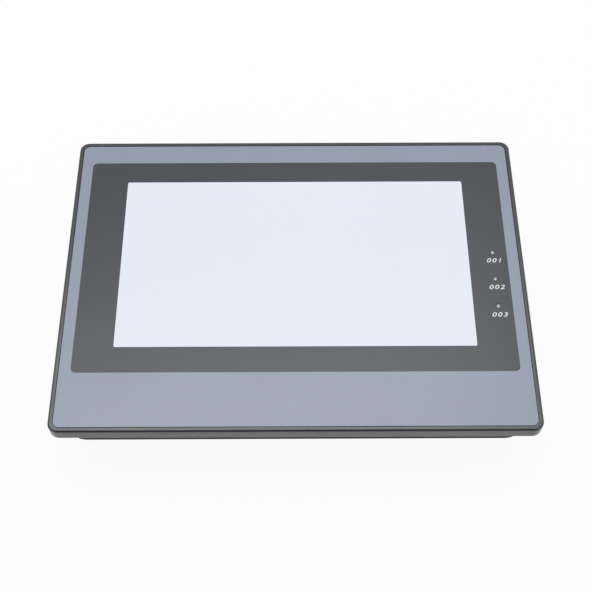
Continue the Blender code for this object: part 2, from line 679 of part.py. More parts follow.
def make_lamps():
    for k, (x, y) in enumerate(lamp_places(), 1):
        tip = OVERLAY_FRONT - SEAT_GAP
        back = LAMP_BOARD_FRONT + LED_HEIGHT + LED_GAP
        shoulder = PLATE_BACK - SEAT_GAP
        profile = [
            (0.0, tip + LAMP_DOME - back),
            (LAMP_RADIUS * 0.6, tip + LAMP_DOME * 0.75 - back),
            (LAMP_RADIUS, tip - back),
            (LAMP_RADIUS, shoulder - back),
            (LAMP_SHOULDER, shoulder - back),
            (LAMP_SHOULDER, shoulder - LAMP_SHOULDER_DEPTH - back),
            (LAMP_RADIUS, shoulder - LAMP_SHOULDER_DEPTH - back),
            (LAMP_RADIUS, 0.0),
            (0.0, 0.0),
        ]
        turned(f"light_pipe_{k}", profile, (x, y, back), (0, 0, 1), "clear_acrylic")

    low, high = lamp_board_ends()
    half = LAMP_BOARD_WIDTH / 2
    board = box("lamp_board", (LAMP_X - half, low - LAMP_BOARD_END, LAMP_BOARD_BACK),
                (LAMP_X + half, high + LAMP_BOARD_END, LAMP_BOARD_FRONT), "board_green")
    for k, y in enumerate((low, high)):
        cut(board, upright(f"lamp_pin_hole_{k}", LAMP_PIN_RADIUS + SCREW_GAP, LAMP_X, y,
                           LAMP_BOARD_BACK - THROUGH, LAMP_BOARD_FRONT + THROUGH, sides=PIN_SIDES))
    for k, (x, y) in enumerate(lamp_places()):
        led = LED_SIZE / 2
        add(board, box(f"led_{k}", (x - led, y - led, LAMP_BOARD_BACK + SEAT_GAP),
                       (x + led, y + led, LAMP_BOARD_FRONT + LED_HEIGHT)))


def make_chassis():
    """Steel plate that clamps the screen module to the bezel and carries the main board on standoffs."""
    margin = CHASSIS_MARGIN
    sheet = box("chassis_plate", (-TOUCH_WIDTH / 2 - margin, TOUCH_LOW - margin, CHASSIS_BACK),
                (TOUCH_WIDTH / 2 + margin, TOUCH_HIGH + margin, CHASSIS_FRONT), "sheet_steel")
    for k, (x, y) in enumerate(chassis_posts()):
        reach = math.copysign(SMALL_POST_RADIUS, x)
        low, high = sorted((x + reach, math.copysign(TOUCH_WIDTH / 2, x)))
        add(sheet, box(f"chassis_tab_{k}", (low, y - CHASSIS_TAB / 2, CHASSIS_BACK),
                       (high, y + CHASSIS_TAB / 2, CHASSIS_FRONT)))
        hole = SMALL_SCREW_RADIUS + SCREW_GAP
        cut(sheet, upright(f"chassis_hole_{k}", hole, x, y, CHASSIS_BACK - THROUGH,
                           CHASSIS_FRONT + THROUGH))
        cross_screw(f"chassis_screw_{k + 1}", SMALL_SCREW_RADIUS, CHASSIS_SHEET + SCREW_BITE - THROUGH,
                    (x, y, CHASSIS_BACK - SEAT_GAP))
    for k, (x, y) in enumerate(standoffs()):
        foot = BOARD_FRONT + SEAT_GAP
        add(sheet, upright(f"standoff_{k}", SMALL_POST_RADIUS, x, y, foot,
                           CHASSIS_BACK + CHASSIS_SHEET / 2))
        cut(sheet, upright(f"standoff_bore_{k}", SMALL_SCREW_RADIUS + SCREW_GAP, x, y, foot - THROUGH,
                           CHASSIS_FRONT + THROUGH))


def board_block(name, at, size, material):
    """A box that stands on the back of the main board."""
    width, height, depth = size
    return box(name, (at[0] - width / 2, at[1] - height / 2, CONNECTOR_SEAT - depth),
               (at[0] + width / 2, at[1] + height / 2, CONNECTOR_SEAT), material)


def make_main_board():
    half, low, high = board_box()
    board = box("main_board", (-half, low, BOARD_BACK), (half, high, BOARD_FRONT), "board_green")
    for k, (x, y) in enumerate(standoffs()):
        cut(board, upright(f"board_hole_{k}", SMALL_SCREW_RADIUS + SLIDE_GAP, x, y, BOARD_BACK - THROUGH,
                           BOARD_FRONT + THROUGH))
        cross_screw(f"board_screw_{k + 1}", SMALL_SCREW_RADIUS,
                    BOARD_THICKNESS + BOARD_TO_CHASSIS - THROUGH,
                    (x, y, BOARD_BACK - SEAT_GAP))
    sockets = ((LCD_RIBBON_X, LCD_RIBBON_WIDTH), (TOUCH_RIBBON_X, TOUCH_RIBBON_WIDTH))
    for k, (x, width) in enumerate(sockets):
        reach = width / 2 + RIBBON_SOCKET_SIDE
        near = low + RIBBON_SOCKET_IN
        add(board, box(f"ribbon_socket_{k}", (x - reach, near, BOARD_BACK + SEAT_GAP),
                       (x + reach, near + RIBBON_SOCKET_DEPTH, BOARD_FRONT + RIBBON_SOCKET_HEIGHT)))
    lamp_y = lamp_places()[1][1]
    reach = LAMP_RIBBON_WIDTH / 2 + RIBBON_SOCKET_SIDE
    far = half - RIBBON_SOCKET_IN
    add(board, box("lamp_ribbon_socket", (far - RIBBON_SOCKET_DEPTH, lamp_y - reach, BOARD_BACK + SEAT_GAP),
                   (far, lamp_y + reach, BOARD_FRONT + RIBBON_SOCKET_HEIGHT)))


def make_board_parts():
    half, _, high = board_box()
    chip = (PROCESSOR_SIDE, PROCESSOR_SIDE, PROCESSOR_HEIGHT)
    x, y = -PROCESSOR_LEFT, high - PROCESSOR_IN
    board_block("processor", (x, y), chip, "chip_black")
    side = HEAT_SINK_SIDE / 2
    top = CONNECTOR_SEAT - PROCESSOR_HEIGHT - SEAT_GAP
    sink = box("heat_sink", (x - side, y - side, top - HEAT_SINK_BASE - HEAT_SINK_FIN),
               (x + side, y + side, top),
               "fin_aluminium")
    pitch = (HEAT_SINK_SIDE - FIN_WIDTH) / (FIN_COUNT - 1)
    for k in range(FIN_COUNT - 1):
        left = x - side + FIN_WIDTH + k * pitch
        cut(sink, box(f"fin_gap_{k}", (left, y - side - THROUGH,
                                       top - HEAT_SINK_BASE - HEAT_SINK_FIN - THROUGH),
                      (left + pitch - FIN_WIDTH, y + side + THROUGH, top - HEAT_SINK_BASE)))
    board_block("memory_chip", (MEMORY_RIGHT, y), MEMORY_SIZE, "chip_black")

    x, y = half - CELL_IN[0], high - CELL_IN[1]
    outer = CELL_RADIUS + SLIDE_GAP + CELL_HOLDER_WALL
    floor = CONNECTOR_SEAT - CELL_HOLDER_FLOOR
    rim = floor - SEAT_GAP - CELL_THICKNESS * 0.7
    holder = upright("cell_holder", outer, x, y, rim, CONNECTOR_SEAT, "chip_black", sides=2 * ROUND_SIDES)
    cut(holder, upright("cell_seat", CELL_RADIUS + SLIDE_GAP, x, y, rim - THROUGH, floor,
                        sides=2 * ROUND_SIDES))
    bevel = CELL_THICKNESS * 0.12
    turned("coin_cell", [(0.0, 0.0), (CELL_RADIUS, 0.0), (CELL_RADIUS, bevel - CELL_THICKNESS),
                         (CELL_RADIUS - bevel, -CELL_THICKNESS), (0.0, -CELL_THICKNESS)],
           (x, y, floor - SEAT_GAP), (0, 0, 1), "cell_steel", sides=2 * ROUND_SIDES)

    x, y = BUZZER_IN[0] - half, high - BUZZER_IN[1]
    buzzer = upright("buzzer", BUZZER_RADIUS, x, y, CONNECTOR_SEAT - BUZZER_HEIGHT, CONNECTOR_SEAT,
                     "chip_black")
    cut(buzzer, upright("buzzer_hole", BUZZER_HOLE, x, y, CONNECTOR_SEAT - BUZZER_HEIGHT - THROUGH,
                        CONNECTOR_SEAT - BUZZER_HEIGHT / 2, sides=PIN_SIDES))
    x, y = CAPACITOR_IN[0] - half, high - CAPACITOR_IN[1]
    upright("capacitor", CAPACITOR_RADIUS, x, y, CONNECTOR_SEAT - CAPACITOR_HEIGHT, CONNECTOR_SEAT,
            "fin_aluminium")


def make_ribbons():
    """Flat cables from the screen, the touch panel and the lamp board to their sockets on the main board."""
    half, low, _ = board_box()
    mouth = low + RIBBON_SOCKET_IN - SEAT_GAP
    entry = BOARD_FRONT + RIBBON_SOCKET_HEIGHT / 2
    outside = TOUCH_LOW - CHASSIS_MARGIN - 3 * RIBBON_THICKNESS
    middle = (CHASSIS_BACK + BOARD_FRONT) / 2
    x = LCD_RIBBON_X
    start = (LCD_BACK + LCD_FRONT) / 2
    lcd = [(x, TOUCH_LOW - SLIDE_GAP, start), (x, (TOUCH_LOW + outside) / 2, start), (x, outside, LCD_BACK),
           (x, outside, middle), (x, (outside + mouth) / 2, entry), (x, mouth, entry)]
    ribbon("lcd_ribbon", smooth_path(lcd), 0, LCD_RIBBON_WIDTH)
    x = TOUCH_RIBBON_X
    start = TOUCH_BACK + RIBBON_THICKNESS
    touch = [(x, TOUCH_LOW - SLIDE_GAP, start), (x, (TOUCH_LOW + outside) / 2, start),
             (x, outside, LEDGE_FRONT),
             (x, outside, LCD_BACK), (x, outside, middle), (x, (outside + mouth) / 2, entry), (x, mouth,
                                                                                               entry)]
    ribbon("touch_ribbon", smooth_path(touch), 0, TOUCH_RIBBON_WIDTH)
    y = lamp_places()[1][1]
    outside = TOUCH_WIDTH / 2 + CHASSIS_MARGIN + 3 * RIBBON_THICKNESS
    under = LAMP_BOARD_BACK - RIBBON_THICKNESS
    lamp = [(LAMP_X, y, under), ((LAMP_X + outside) / 2, y, under), (outside, y, CHASSIS_FRONT),
            (outside, y, CHASSIS_BACK - 3 * RIBBON_THICKNESS), ((outside + half) / 2, y, middle),
            (half - RIBBON_SOCKET_IN / 2, y, entry), (half - RIBBON_SOCKET_IN + SEAT_GAP, y, entry)]
    ribbon("lamp_ribbon", smooth_path(lamp), 1, LAMP_RIBBON_WIDTH)


def socket_row():
    """The middle X of each socket on the lower wall, by name: they share the wall's length evenly."""
    widths = {
        "power": POWER_WIDTH,
        "serial": SERIAL_WIDTH,
        "ethernet": ETHERNET_WIDTH,
        "usb": USB_WIDTH,
        "mini_usb": MINI_USB_WIDTH,
        "dip": DIP_COUNT * DIP_PITCH + 2 * DIP_END,
        "reset": RESET_WIDTH,
    }
    left = WALL - BOX_HALF + SOCKET_END
    spacing = (-2 * left - sum(widths.values())) / (len(widths) - 1)
    found = {}
    for name, width in widths.items():
        found[name] = left + width / 2
        left += width + spacing
    return found


def wall_block(name, x, width, height, proud, depth, material=None, drop=0.0):
    """A socket's body: it hangs under the board and stands out of the lower wall by proud."""
    top = CONNECTOR_SEAT - drop
    return box(name, (x - width / 2, WALL_OUT - proud, top - height),
               (x + width / 2, WALL_OUT - proud + depth, top), material)


def pole_places(x):
    return [x + (k - (POLE_COUNT - 1) / 2) * POLE_PITCH for k in range(POLE_COUNT)]


def make_power_terminal(x):
    """Pin header in the wall, and the plug with a screw clamp for each wire."""
    socket = wall_block("power_socket", x, POWER_WIDTH, POWER_HEIGHT, SOCKET_PROUD, POWER_DEPTH,
                        "terminal_green")
    mouth = WALL_OUT - SOCKET_PROUD
    low = CONNECTOR_SEAT - POWER_HEIGHT
    inner = POWER_WIDTH / 2 - POWER_WALL
    nose_end = mouth + PLUG_NOSE
    cut(socket, box("power_cavity", (x - inner, mouth - THROUGH, low + POWER_WALL),
                    (x + inner, nose_end + SLIDE_GAP, CONNECTOR_SEAT - POWER_WALL)))
    middle = CONNECTOR_SEAT - POWER_HEIGHT / 2
    for k, px in enumerate(pole_places(x)):
        add(socket, rod(f"power_pin_{k}", POWER_PIN_RADIUS, (px, nose_end - POWER_PIN_LENGTH, middle),
                        (px, nose_end + THROUGH, middle), sides=PIN_SIDES))

    half = inner - SLIDE_GAP
    plug_low = low - PLUG_DROP
    plug_high = CONNECTOR_SEAT - SLIDE_GAP
    back = mouth - SLIDE_GAP
    front = back - PLUG_BODY
    plug = box("power_plug", (x - half, front, plug_low), (x + half, back, plug_high), "terminal_green")
    nose = POWER_WALL + SLIDE_GAP
    add(plug, box("plug_nose", (x - half, back - THROUGH, low + nose),
                  (x + half, nose_end, CONNECTOR_SEAT - nose)))
    cage_y = front + CLAMP_FROM_FRONT + SLIDE_GAP, front + CLAMP_FROM_FRONT + SLIDE_GAP + CLAMP_LENGTH
    screw_y = sum(cage_y) / 2
    head_low = plug_low + TERMINAL_SUNK
    head_high = head_low + TERMINAL_HEAD_HEIGHT
    web_high = head_high + SLIDE_GAP + TERMINAL_WEB
    cage_low = web_high + SLIDE_GAP + CLAMP_TRAVEL
    cage_high = cage_low + CLAMP_HEIGHT
    wire_z = (cage_low + cage_high) / 2
    for k, px in enumerate(pole_places(x)):
        wide = CLAMP_WIDTH / 2 + SLIDE_GAP
        entry = WIRE_ENTRY / 2
        funnel = entry + WIRE_FUNNEL / 2
        pin = POWER_PIN_RADIUS + SLIDE_GAP
        head = TERMINAL_HEAD_RADIUS + SLIDE_GAP
        stem = TERMINAL_STEM_RADIUS + SLIDE_GAP
        cut(
            plug,
            box(f"clamp_bay_{k}", (px - wide, cage_y[0] - SLIDE_GAP, web_high),
                (px + wide, cage_y[1] + SLIDE_GAP, cage_high + SLIDE_GAP)),
            box(f"wire_entry_{k}", (px - entry, front - THROUGH, wire_z - entry),
                (px + entry, screw_y, wire_z + entry)),
            box(f"wire_funnel_{k}", (px - funnel, front - THROUGH, wire_z - funnel),
                (px + funnel, front + WIRE_FUNNEL, wire_z + funnel)),
            rod(f"pin_bore_{k}", pin, (px, nose_end - POWER_PIN_LENGTH - SLIDE_GAP, middle),
                (px, nose_end + THROUGH, middle), sides=PIN_SIDES),
            rod(f"head_bore_{k}", head, (px, screw_y, plug_low - THROUGH),
                (px, screw_y, head_high + SLIDE_GAP)),
            rod(f"stem_bore_{k}", stem, (px, screw_y, head_high), (px, screw_y, web_high + THROUGH)),
        )
        cage = box(f"wire_clamp_{k + 1}", (px - CLAMP_WIDTH / 2, cage_y[0], cage_low),
                   (px + CLAMP_WIDTH / 2, cage_y[1], cage_high), "connector_metal")
        inside = CLAMP_WIDTH / 2 - CLAMP_WALL
        cut(
            cage,
            box(f"clamp_hollow_{k}", (px - inside, cage_y[0] - THROUGH, cage_low + CLAMP_WALL),
                (px + inside, cage_y[1] + THROUGH, cage_high - CLAMP_WALL)),
            rod(f"clamp_thread_{k}", stem, (px, screw_y, cage_low - THROUGH),
                (px, screw_y, cage_low + CLAMP_WALL + THROUGH)),
        )
        tip = cage_low + CLAMP_WALL + 2 * SLIDE_GAP - head_low
        neck = head_high - head_low
        profile = [(0.0, tip), (TERMINAL_STEM_RADIUS, tip), (TERMINAL_STEM_RADIUS, neck),
                   (TERMINAL_HEAD_RADIUS, neck), (TERMINAL_HEAD_RADIUS, 0.0), (0.0, 0.0)]
        screw = turned(f"terminal_screw_{k + 1}", profile, (px, screw_y, head_low), (0, 0, 1),
                       "screw_steel")
        cut(screw, box(f"driver_slot_{k}",
                       (px - TERMINAL_HEAD_RADIUS - THROUGH, screw_y - SLOT_WIDTH / 2, head_low - THROUGH),
                       (px + TERMINAL_HEAD_RADIUS + THROUGH, screw_y + SLOT_WIDTH / 2,
                        head_low + SLOT_DEPTH)))


def shell_outline(name, x, z, width, height, near, far, material=None):
    """The D-shaped bar of a serial plug: its lower side is narrower than its upper side."""
    mesh = box_mesh(name, (width, far - near, height), corner=height / 6, axis=1)
    for vertex in mesh.vertices:
        share = 0.5 - vertex.co.z / height
        vertex.co.x *= 1 - 2 * SERIAL_SHELL_SLANT / width * share
    return piece(name, mesh, (x, (near + far) / 2, z), material)


def make_serial_port(x):
    middle = CONNECTOR_SEAT - SERIAL_HEIGHT / 2
    plate_back = WALL_OUT - SEAT_GAP
    plate_front = plate_back - SERIAL_FLANGE
    port = box("serial_port", (x - SERIAL_WIDTH / 2, plate_front, middle - SERIAL_HEIGHT / 2),
               (x + SERIAL_WIDTH / 2, plate_back, middle + SERIAL_HEIGHT / 2), "connector_metal",
               corner=SERIAL_FLANGE, axis=1)
    reach = SERIAL_BODY_WIDTH / 2
    rise = SERIAL_BODY_HEIGHT / 2
    add(port, box("serial_body", (x - reach, plate_back - SERIAL_FLANGE / 2, middle - rise),
                  (x + reach, plate_back + SERIAL_BODY_DEPTH, middle + rise)))
    tip = plate_front - SERIAL_SHELL_LENGTH
    add(port, shell_outline("serial_shell", x, middle, SERIAL_SHELL_WIDTH, SERIAL_SHELL_HEIGHT, tip,
                            plate_front + SERIAL_FLANGE / 2))
    wall = 2 * SERIAL_SHELL_WALL
    cut(port, shell_outline("serial_cavity", x, middle, SERIAL_SHELL_WIDTH - wall,
                            SERIAL_SHELL_HEIGHT - wall,
                            tip - THROUGH, plate_front))
    rows = ((5, SERIAL_PIN_ROW / 2), (4, -SERIAL_PIN_ROW / 2))
    for count, rise in rows:
        for k in range(count):
            px = x + (k - (count - 1) / 2) * SERIAL_PIN_PITCH
            add(port, rod(f"serial_pin_{count}_{k}", SERIAL_PIN_RADIUS,
                          (px, tip + SERIAL_FLANGE, middle + rise),
                          (px, plate_front + SERIAL_FLANGE / 2, middle + rise), sides=PIN_SIDES))
    for k, side in enumerate((-1, 1)):
        px = x + side * SERIAL_SCREW_X
        hole = JACK_STEM_RADIUS + SCREW_GAP
        cut(port, rod(f"jack_hole_{k}", hole, (px, plate_front - THROUGH, middle),
                      (px, plate_back + THROUGH, middle)))
        seat = plate_front - SEAT_GAP
        jack = rod(f"jack_screw_{k + 1}", JACK_SCREW_RADIUS, (px, seat - JACK_SCREW_LENGTH, middle),
                   (px, seat, middle),
                   "connector_metal", sides=6)
        add(jack, rod(f"jack_stem_{k}", JACK_STEM_RADIUS, (px, seat - THROUGH, middle),
                      (px, seat + JACK_STEM_LENGTH, middle)))
        cut(jack, rod(f"jack_bore_{k}", JACK_SCREW_BORE, (px, seat - JACK_SCREW_LENGTH - THROUGH, middle),
                      (px, seat - THROUGH, middle)))
    return middle


def make_ethernet_jack(x):
    jack = wall_block("ethernet_jack", x, ETHERNET_WIDTH, ETHERNET_HEIGHT, SOCKET_PROUD, ETHERNET_DEPTH,
                      "connector_metal")
    width, depth, height = ETHERNET_CAVITY
    mouth = WALL_OUT - SOCKET_PROUD
    top = CONNECTOR_SEAT - (ETHERNET_HEIGHT - height - ETHERNET_LATCH[2]) / 2
    cut(jack, box("jack_cavity", (x - width / 2, mouth - THROUGH, top - height),
                  (x + width / 2, mouth + depth, top)))
    width, depth, drop = ETHERNET_LATCH
    cut(jack, box("jack_latch", (x - width / 2, mouth - THROUGH, top - height - drop),
                  (x + width / 2, mouth + depth, top - height + THROUGH)))


def make_usb_ports(x, mini_x):
    ports = (
        ("usb_host_port", x, USB_WIDTH, USB_HEIGHT, USB_DEPTH, USB_WALL, USB_TONGUE),
        ("usb_device_port", mini_x, MINI_USB_WIDTH, MINI_USB_HEIGHT, MINI_USB_DEPTH, MINI_USB_WALL,
         MINI_USB_TONGUE),
    )
    for name, px, width, height, depth, wall, tongue in ports:
        port = wall_block(name, px, width, height, SOCKET_PROUD, depth, "connector_metal")
        mouth = WALL_OUT - SOCKET_PROUD
        low, high = CONNECTOR_SEAT - height + wall, CONNECTOR_SEAT - wall
        inner = width / 2 - wall
        end = mouth + depth - USB_BACK
        cut(port, box(name + "_cavity", (px - inner, mouth - THROUGH, low), (px + inner, end, high)))
        blade = inner - 2 * wall
        rise = high - (high - low) / 4
        add(port, box(name + "_tongue", (px - blade, mouth + THROUGH, rise - tongue / 2),
                      (px + blade, end + THROUGH, rise + tongue / 2)))


def make_dip_switch(x):
    width = DIP_COUNT * DIP_PITCH + 2 * DIP_END
    body = wall_block("dip_body", x, width, DIP_HEIGHT, SOCKET_PROUD, DIP_DEPTH, "switch_red")
    mouth = WALL_OUT - SOCKET_PROUD
    middle = CONNECTOR_SEAT - DIP_HEIGHT / 2
    slot_half = DIP_SLIDER_HEIGHT / 2 + DIP_TRAVEL / 2 + SLIDE_GAP
    for k in range(DIP_COUNT):
        px = x + (k - (DIP_COUNT - 1) / 2) * DIP_PITCH
        wide = DIP_SLIDER_WIDTH / 2
        cut(body, box(f"dip_slot_{k}", (px - wide - SLIDE_GAP, mouth - THROUGH, middle - slot_half),
                      (px + wide + SLIDE_GAP, mouth + DIP_SLOT_DEPTH, middle + slot_half)))
        low = middle - DIP_TRAVEL / 2 - DIP_SLIDER_HEIGHT / 2
        box(f"dip_slider_{k + 1}", (px - wide, mouth - DIP_SLIDER_PROUD, low),
            (px + wide, mouth + DIP_SLOT_DEPTH - SLIDE_GAP, low + DIP_SLIDER_HEIGHT), "slider_white")


def make_reset_button(x):
    middle = CONNECTOR_SEAT - RESET_HEIGHT / 2
    face = WALL_IN + SLIDE_GAP
    body = box("reset_switch", (x - RESET_WIDTH / 2, face, middle - RESET_HEIGHT / 2),
               (x + RESET_WIDTH / 2, face + RESET_DEPTH, middle + RESET_HEIGHT / 2), "chip_black")
    cut(body, rod("reset_seat", RESET_RADIUS + SLIDE_GAP, (x, face - THROUGH, middle),
                  (x, face + RESET_SEAT, middle)))
    end = face + RESET_SEAT - RESET_TRAVEL - SLIDE_GAP
    length = end - (WALL_OUT - RESET_PROUD)
    crown = RESET_RADIUS * 0.25
    turned("reset_button", [(0.0, length), (RESET_RADIUS - crown, length), (RESET_RADIUS, length - crown),
                            (RESET_RADIUS, 0.0), (0.0, 0.0)], (x, end, middle), (0, -1, 0), "slider_white")
    return middle


def make_rear_housing(row, serial_z, reset_z):
    housing = plate("rear_housing", COLLAR_WIDTH, COLLAR_HEIGHT, 0, COLLAR_BACK, FLANGE_BACK - SEAT_GAP,
                    "housing_plastic", corner=COLLAR_CORNER, back_round=BOX_EDGE / 2)
    add(housing, box("box_outer", (-BOX_HALF, BOX_LOW, 0), (BOX_HALF, BOX_HIGH, COLLAR_BACK + WALL / 2),
                     corner=BOX_CORNER, back_round=BOX_EDGE))
    collar_hollow = plate("collar_hollow", COLLAR_WIDTH - 2 * WALL, COLLAR_HEIGHT - 2 * WALL, 0,
                          COLLAR_BACK + WALL, FLANGE_BACK + THROUGH, corner=COLLAR_CORNER - WALL)
    box_hollow = box("box_hollow", (-BOX_HALF + WALL, WALL_IN, WALL),
                     (BOX_HALF - WALL, BOX_HIGH - WALL, COLLAR_BACK + WALL + THROUGH),
                     corner=BOX_CORNER - WALL)
    cut(housing, collar_hollow, box_hollow)

    for k, (x, y) in enumerate(housing_posts()):
        cut(housing, upright(f"housing_hole_{k}", HOUSING_SCREW_RADIUS + SLIDE_GAP, x, y,
                             COLLAR_BACK - THROUGH, COLLAR_BACK + WALL + THROUGH))
        cross_screw(f"housing_screw_{k + 1}", HOUSING_SCREW_RADIUS, WALL + SCREW_BITE,
                    (x, y, COLLAR_BACK - SEAT_GAP))

    label = LABEL_WIDTH / 2
    low = BOX_LOW + LABEL_FROM_BOTTOM
    cut(housing, box("label_recess", (-label, low, -THROUGH), (label, low + LABEL_HEIGHT, LABEL_RECESS)))
    for group, side in enumerate((-1, 1)):
        for k in range(VENT_COUNT):
            x = side * (BOX_HALF - VENT_FROM_SIDE) + (k - (VENT_COUNT - 1) / 2) * VENT_PITCH
            top = BOX_HIGH - VENT_FROM_TOP
            cut(housing, box(f"vent_{group}_{k}", (x - VENT_WIDTH / 2, top - VENT_LENGTH, -THROUGH),
                             (x + VENT_WIDTH / 2, top, WALL + THROUGH)))
    high = FLANGE_BACK - CLIP_SLOT_FROM_FLANGE
    for k, (x, side) in enumerate(((-1, -1), (1, -1), (-1, 1), (1, 1))):
        wall = sorted((side * (COLLAR_HEIGHT / 2 + THROUGH), side * (COLLAR_HEIGHT / 2 - WALL - THROUGH)))
        middle = x * (COLLAR_WIDTH / 2 - CLIP_SLOT_FROM_SIDE)
        cut(housing, box(f"clip_slot_{k}", (middle - CLIP_SLOT_WIDTH / 2, wall[0], high - CLIP_SLOT_DEPTH),
                         (middle + CLIP_SLOT_WIDTH / 2, wall[1], high)))

    dip_width = DIP_COUNT * DIP_PITCH + 2 * DIP_END
    holes = (
        ("power", POWER_WIDTH, POWER_HEIGHT),
        ("ethernet", ETHERNET_WIDTH, ETHERNET_HEIGHT),
        ("usb", USB_WIDTH, USB_HEIGHT),
        ("mini_usb", MINI_USB_WIDTH, MINI_USB_HEIGHT),
        ("dip", dip_width, DIP_HEIGHT),
    )
    for name, width, height in holes:
        reach = width / 2 + HOLE_GAP
        cut(housing, box(f"wall_hole_{name}",
                         (row[name] - reach, WALL_OUT - THROUGH, CONNECTOR_SEAT - height - HOLE_GAP),
                         (row[name] + reach, WALL_IN + THROUGH, CONNECTOR_SEAT + HOLE_GAP)))
    reach = SERIAL_BODY_WIDTH / 2 + HOLE_GAP
    rise = SERIAL_BODY_HEIGHT / 2 + HOLE_GAP
    cut(housing, box("wall_hole_serial", (row["serial"] - reach, WALL_OUT - THROUGH, serial_z - rise),
                     (row["serial"] + reach, WALL_IN + THROUGH, serial_z + rise)))
    for k, side in enumerate((-1, 1)):
        x = row["serial"] + side * SERIAL_SCREW_X
        cut(housing, rod(f"wall_hole_jack_{k}", JACK_STEM_RADIUS + SLIDE_GAP,
                         (x, WALL_OUT - THROUGH, serial_z),
                         (x, WALL_IN + THROUGH, serial_z)))
    cut(housing, rod("wall_hole_reset", RESET_RADIUS + HOLE_GAP,
                     (row["reset"], WALL_OUT - THROUGH, reset_z),
                     (row["reset"], WALL_IN + THROUGH, reset_z)))


def main():
    make_front_bezel()
    make_overlay()
    make_touch_screen()
    make_display()
    make_panel_gasket()
    make_lamps()
    make_chassis()
    make_main_board()
    make_board_parts()
    make_ribbons()
    row = socket_row()
    make_power_terminal(row["power"])
    serial_z = make_serial_port(row["serial"])
    make_ethernet_jack(row["ethernet"])
    make_usb_ports(row["usb"], row["mini_usb"])
    make_dip_switch(row["dip"])
    reset_z = make_reset_button(row["reset"])
    make_rear_housing(row, serial_z, reset_z)


clear_scene()
PARTS = new_collection("operator_touch_panel")
CUTTERS = new_collection("cutters")
main()
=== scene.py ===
"""Looks of a seven-inch operator touch panel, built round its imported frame.

Metres, +Z out of the screen, +Y to the top of the screen, +X to its right. The panel lies on its back.
"""

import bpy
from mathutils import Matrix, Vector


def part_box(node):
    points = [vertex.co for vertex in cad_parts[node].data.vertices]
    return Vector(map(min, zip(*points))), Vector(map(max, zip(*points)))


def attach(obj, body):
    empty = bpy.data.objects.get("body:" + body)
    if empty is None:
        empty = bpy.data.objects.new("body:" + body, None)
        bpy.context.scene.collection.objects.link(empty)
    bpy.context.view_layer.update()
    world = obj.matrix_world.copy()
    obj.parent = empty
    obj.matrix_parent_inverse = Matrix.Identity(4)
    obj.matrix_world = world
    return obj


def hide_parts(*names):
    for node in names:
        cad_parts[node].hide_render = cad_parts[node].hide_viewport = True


bl_info = {
    "name": "Operator touch panel",
    "version": (1, 0, 0),
    "blender": (4, 5, 0),
    "location": "View3D > Sidebar > Touch panel",
    "description": "Models the film, bezel, housing and sockets of an operator touch panel, and its studio",
    "category": "Object",
}

import math

import bmesh
import bpy
from bpy.props import FloatProperty, FloatVectorProperty, PointerProperty
from mathutils import Matrix, Vector

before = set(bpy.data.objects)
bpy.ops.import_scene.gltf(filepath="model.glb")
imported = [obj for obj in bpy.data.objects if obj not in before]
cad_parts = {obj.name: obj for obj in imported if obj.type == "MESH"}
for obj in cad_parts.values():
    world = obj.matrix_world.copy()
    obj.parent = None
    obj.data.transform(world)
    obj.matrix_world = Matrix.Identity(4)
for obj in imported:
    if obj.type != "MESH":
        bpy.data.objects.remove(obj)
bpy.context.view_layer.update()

MM = 0.001
MICRON = 1e-6
X, Y, Z = 0, 1, 2

# Facets of the fine surface
CORNER_STEPS = 10
ROUND_STEPS = 6
ROUND_SIDES = 48
PIN_SIDES = 20
SMOOTH_ANGLE = math.radians(35)
FLAT_ANGLE = math.radians(0.5)
PARALLEL = 0.999
UPRIGHT = (math.radians(90), 0, 0)

# Clearances and reaches of cutters
SAME = 1e-6
SEAT_GAP = 0.1 * MM
THROUGH = 1.0 * MM

# Like pieces, by their numbers
LAMPS = (1, 2, 3)
POLES = (1, 2, 3)
SLIDERS = (1, 2, 3, 4)
CORNERS = (1, 2, 3, 4)
JACKS = (1, 2)

# Roof of the network jack's mouth
JACK_ROOF = 13.9 * MM

# Print: its thickness, a digit's share of the type's size, and the swelling of its strokes
INK = 0.02 * MM
DIGIT_SHARE = 0.72
STROKE_SWELL = 0.02

# The camera, as the photograph's perspective was solved
CAMERA_PLACE = Vector((-0.30, -247.74, 440.41)) * MM
CAMERA_TILT = 0.5305894
CAMERA_PAN = -0.0016022
CAMERA_ROLL = -0.0046487
SENSOR_WIDTH = 36.0
CLIP_START = 0.01

# The set, in metres, and how white the camera and reflections see its floor and backdrop
KEY_PLACE = Vector((-0.04, 0.19, 0.90))
KEY_SIZE = (0.75, 0.60)
FLAG_PLACE = (0, -1.10, 0.80)
FLAG_SIZE = 1.60
FLOOR_SIZE = 8.0
FLOOR_LEVEL = -0.2 * MM
FLOOR_WHITE = 0.94
BACKDROP_WHITE = 0.975

# Stops of the ramp that a slow change of colour or gloss runs between
PATCH_STOPS = (0.35, 0.65)

# Scale at which a wave texture has one band in each unit of length
WAVE_RATE = math.tau / 20

# The materials made so far
FINISHES = {}


def linear(code):
    """An sRGB hex colour as linear red, green and blue."""
    parts = [int(code[k:k + 2], 16) / 255 for k in (0, 2, 4)]
    return tuple(p / 12.92 if p <= 0.04045 else ((p + 0.055) / 1.055) ** 2.4 for p in parts)


def length(name, millimetres, description):
    """A size that a user would change."""
    return FloatProperty(name=name, description=description, default=millimetres * MM, min=0.0,
                         precision=5, subtype="DISTANCE", unit="LENGTH")


def colour(name, code, description):
    """A colour that a user would change."""
    return FloatVectorProperty(name=name, description=description, default=linear(code), size=3,
                               min=0.0, max=1.0, subtype="COLOR")


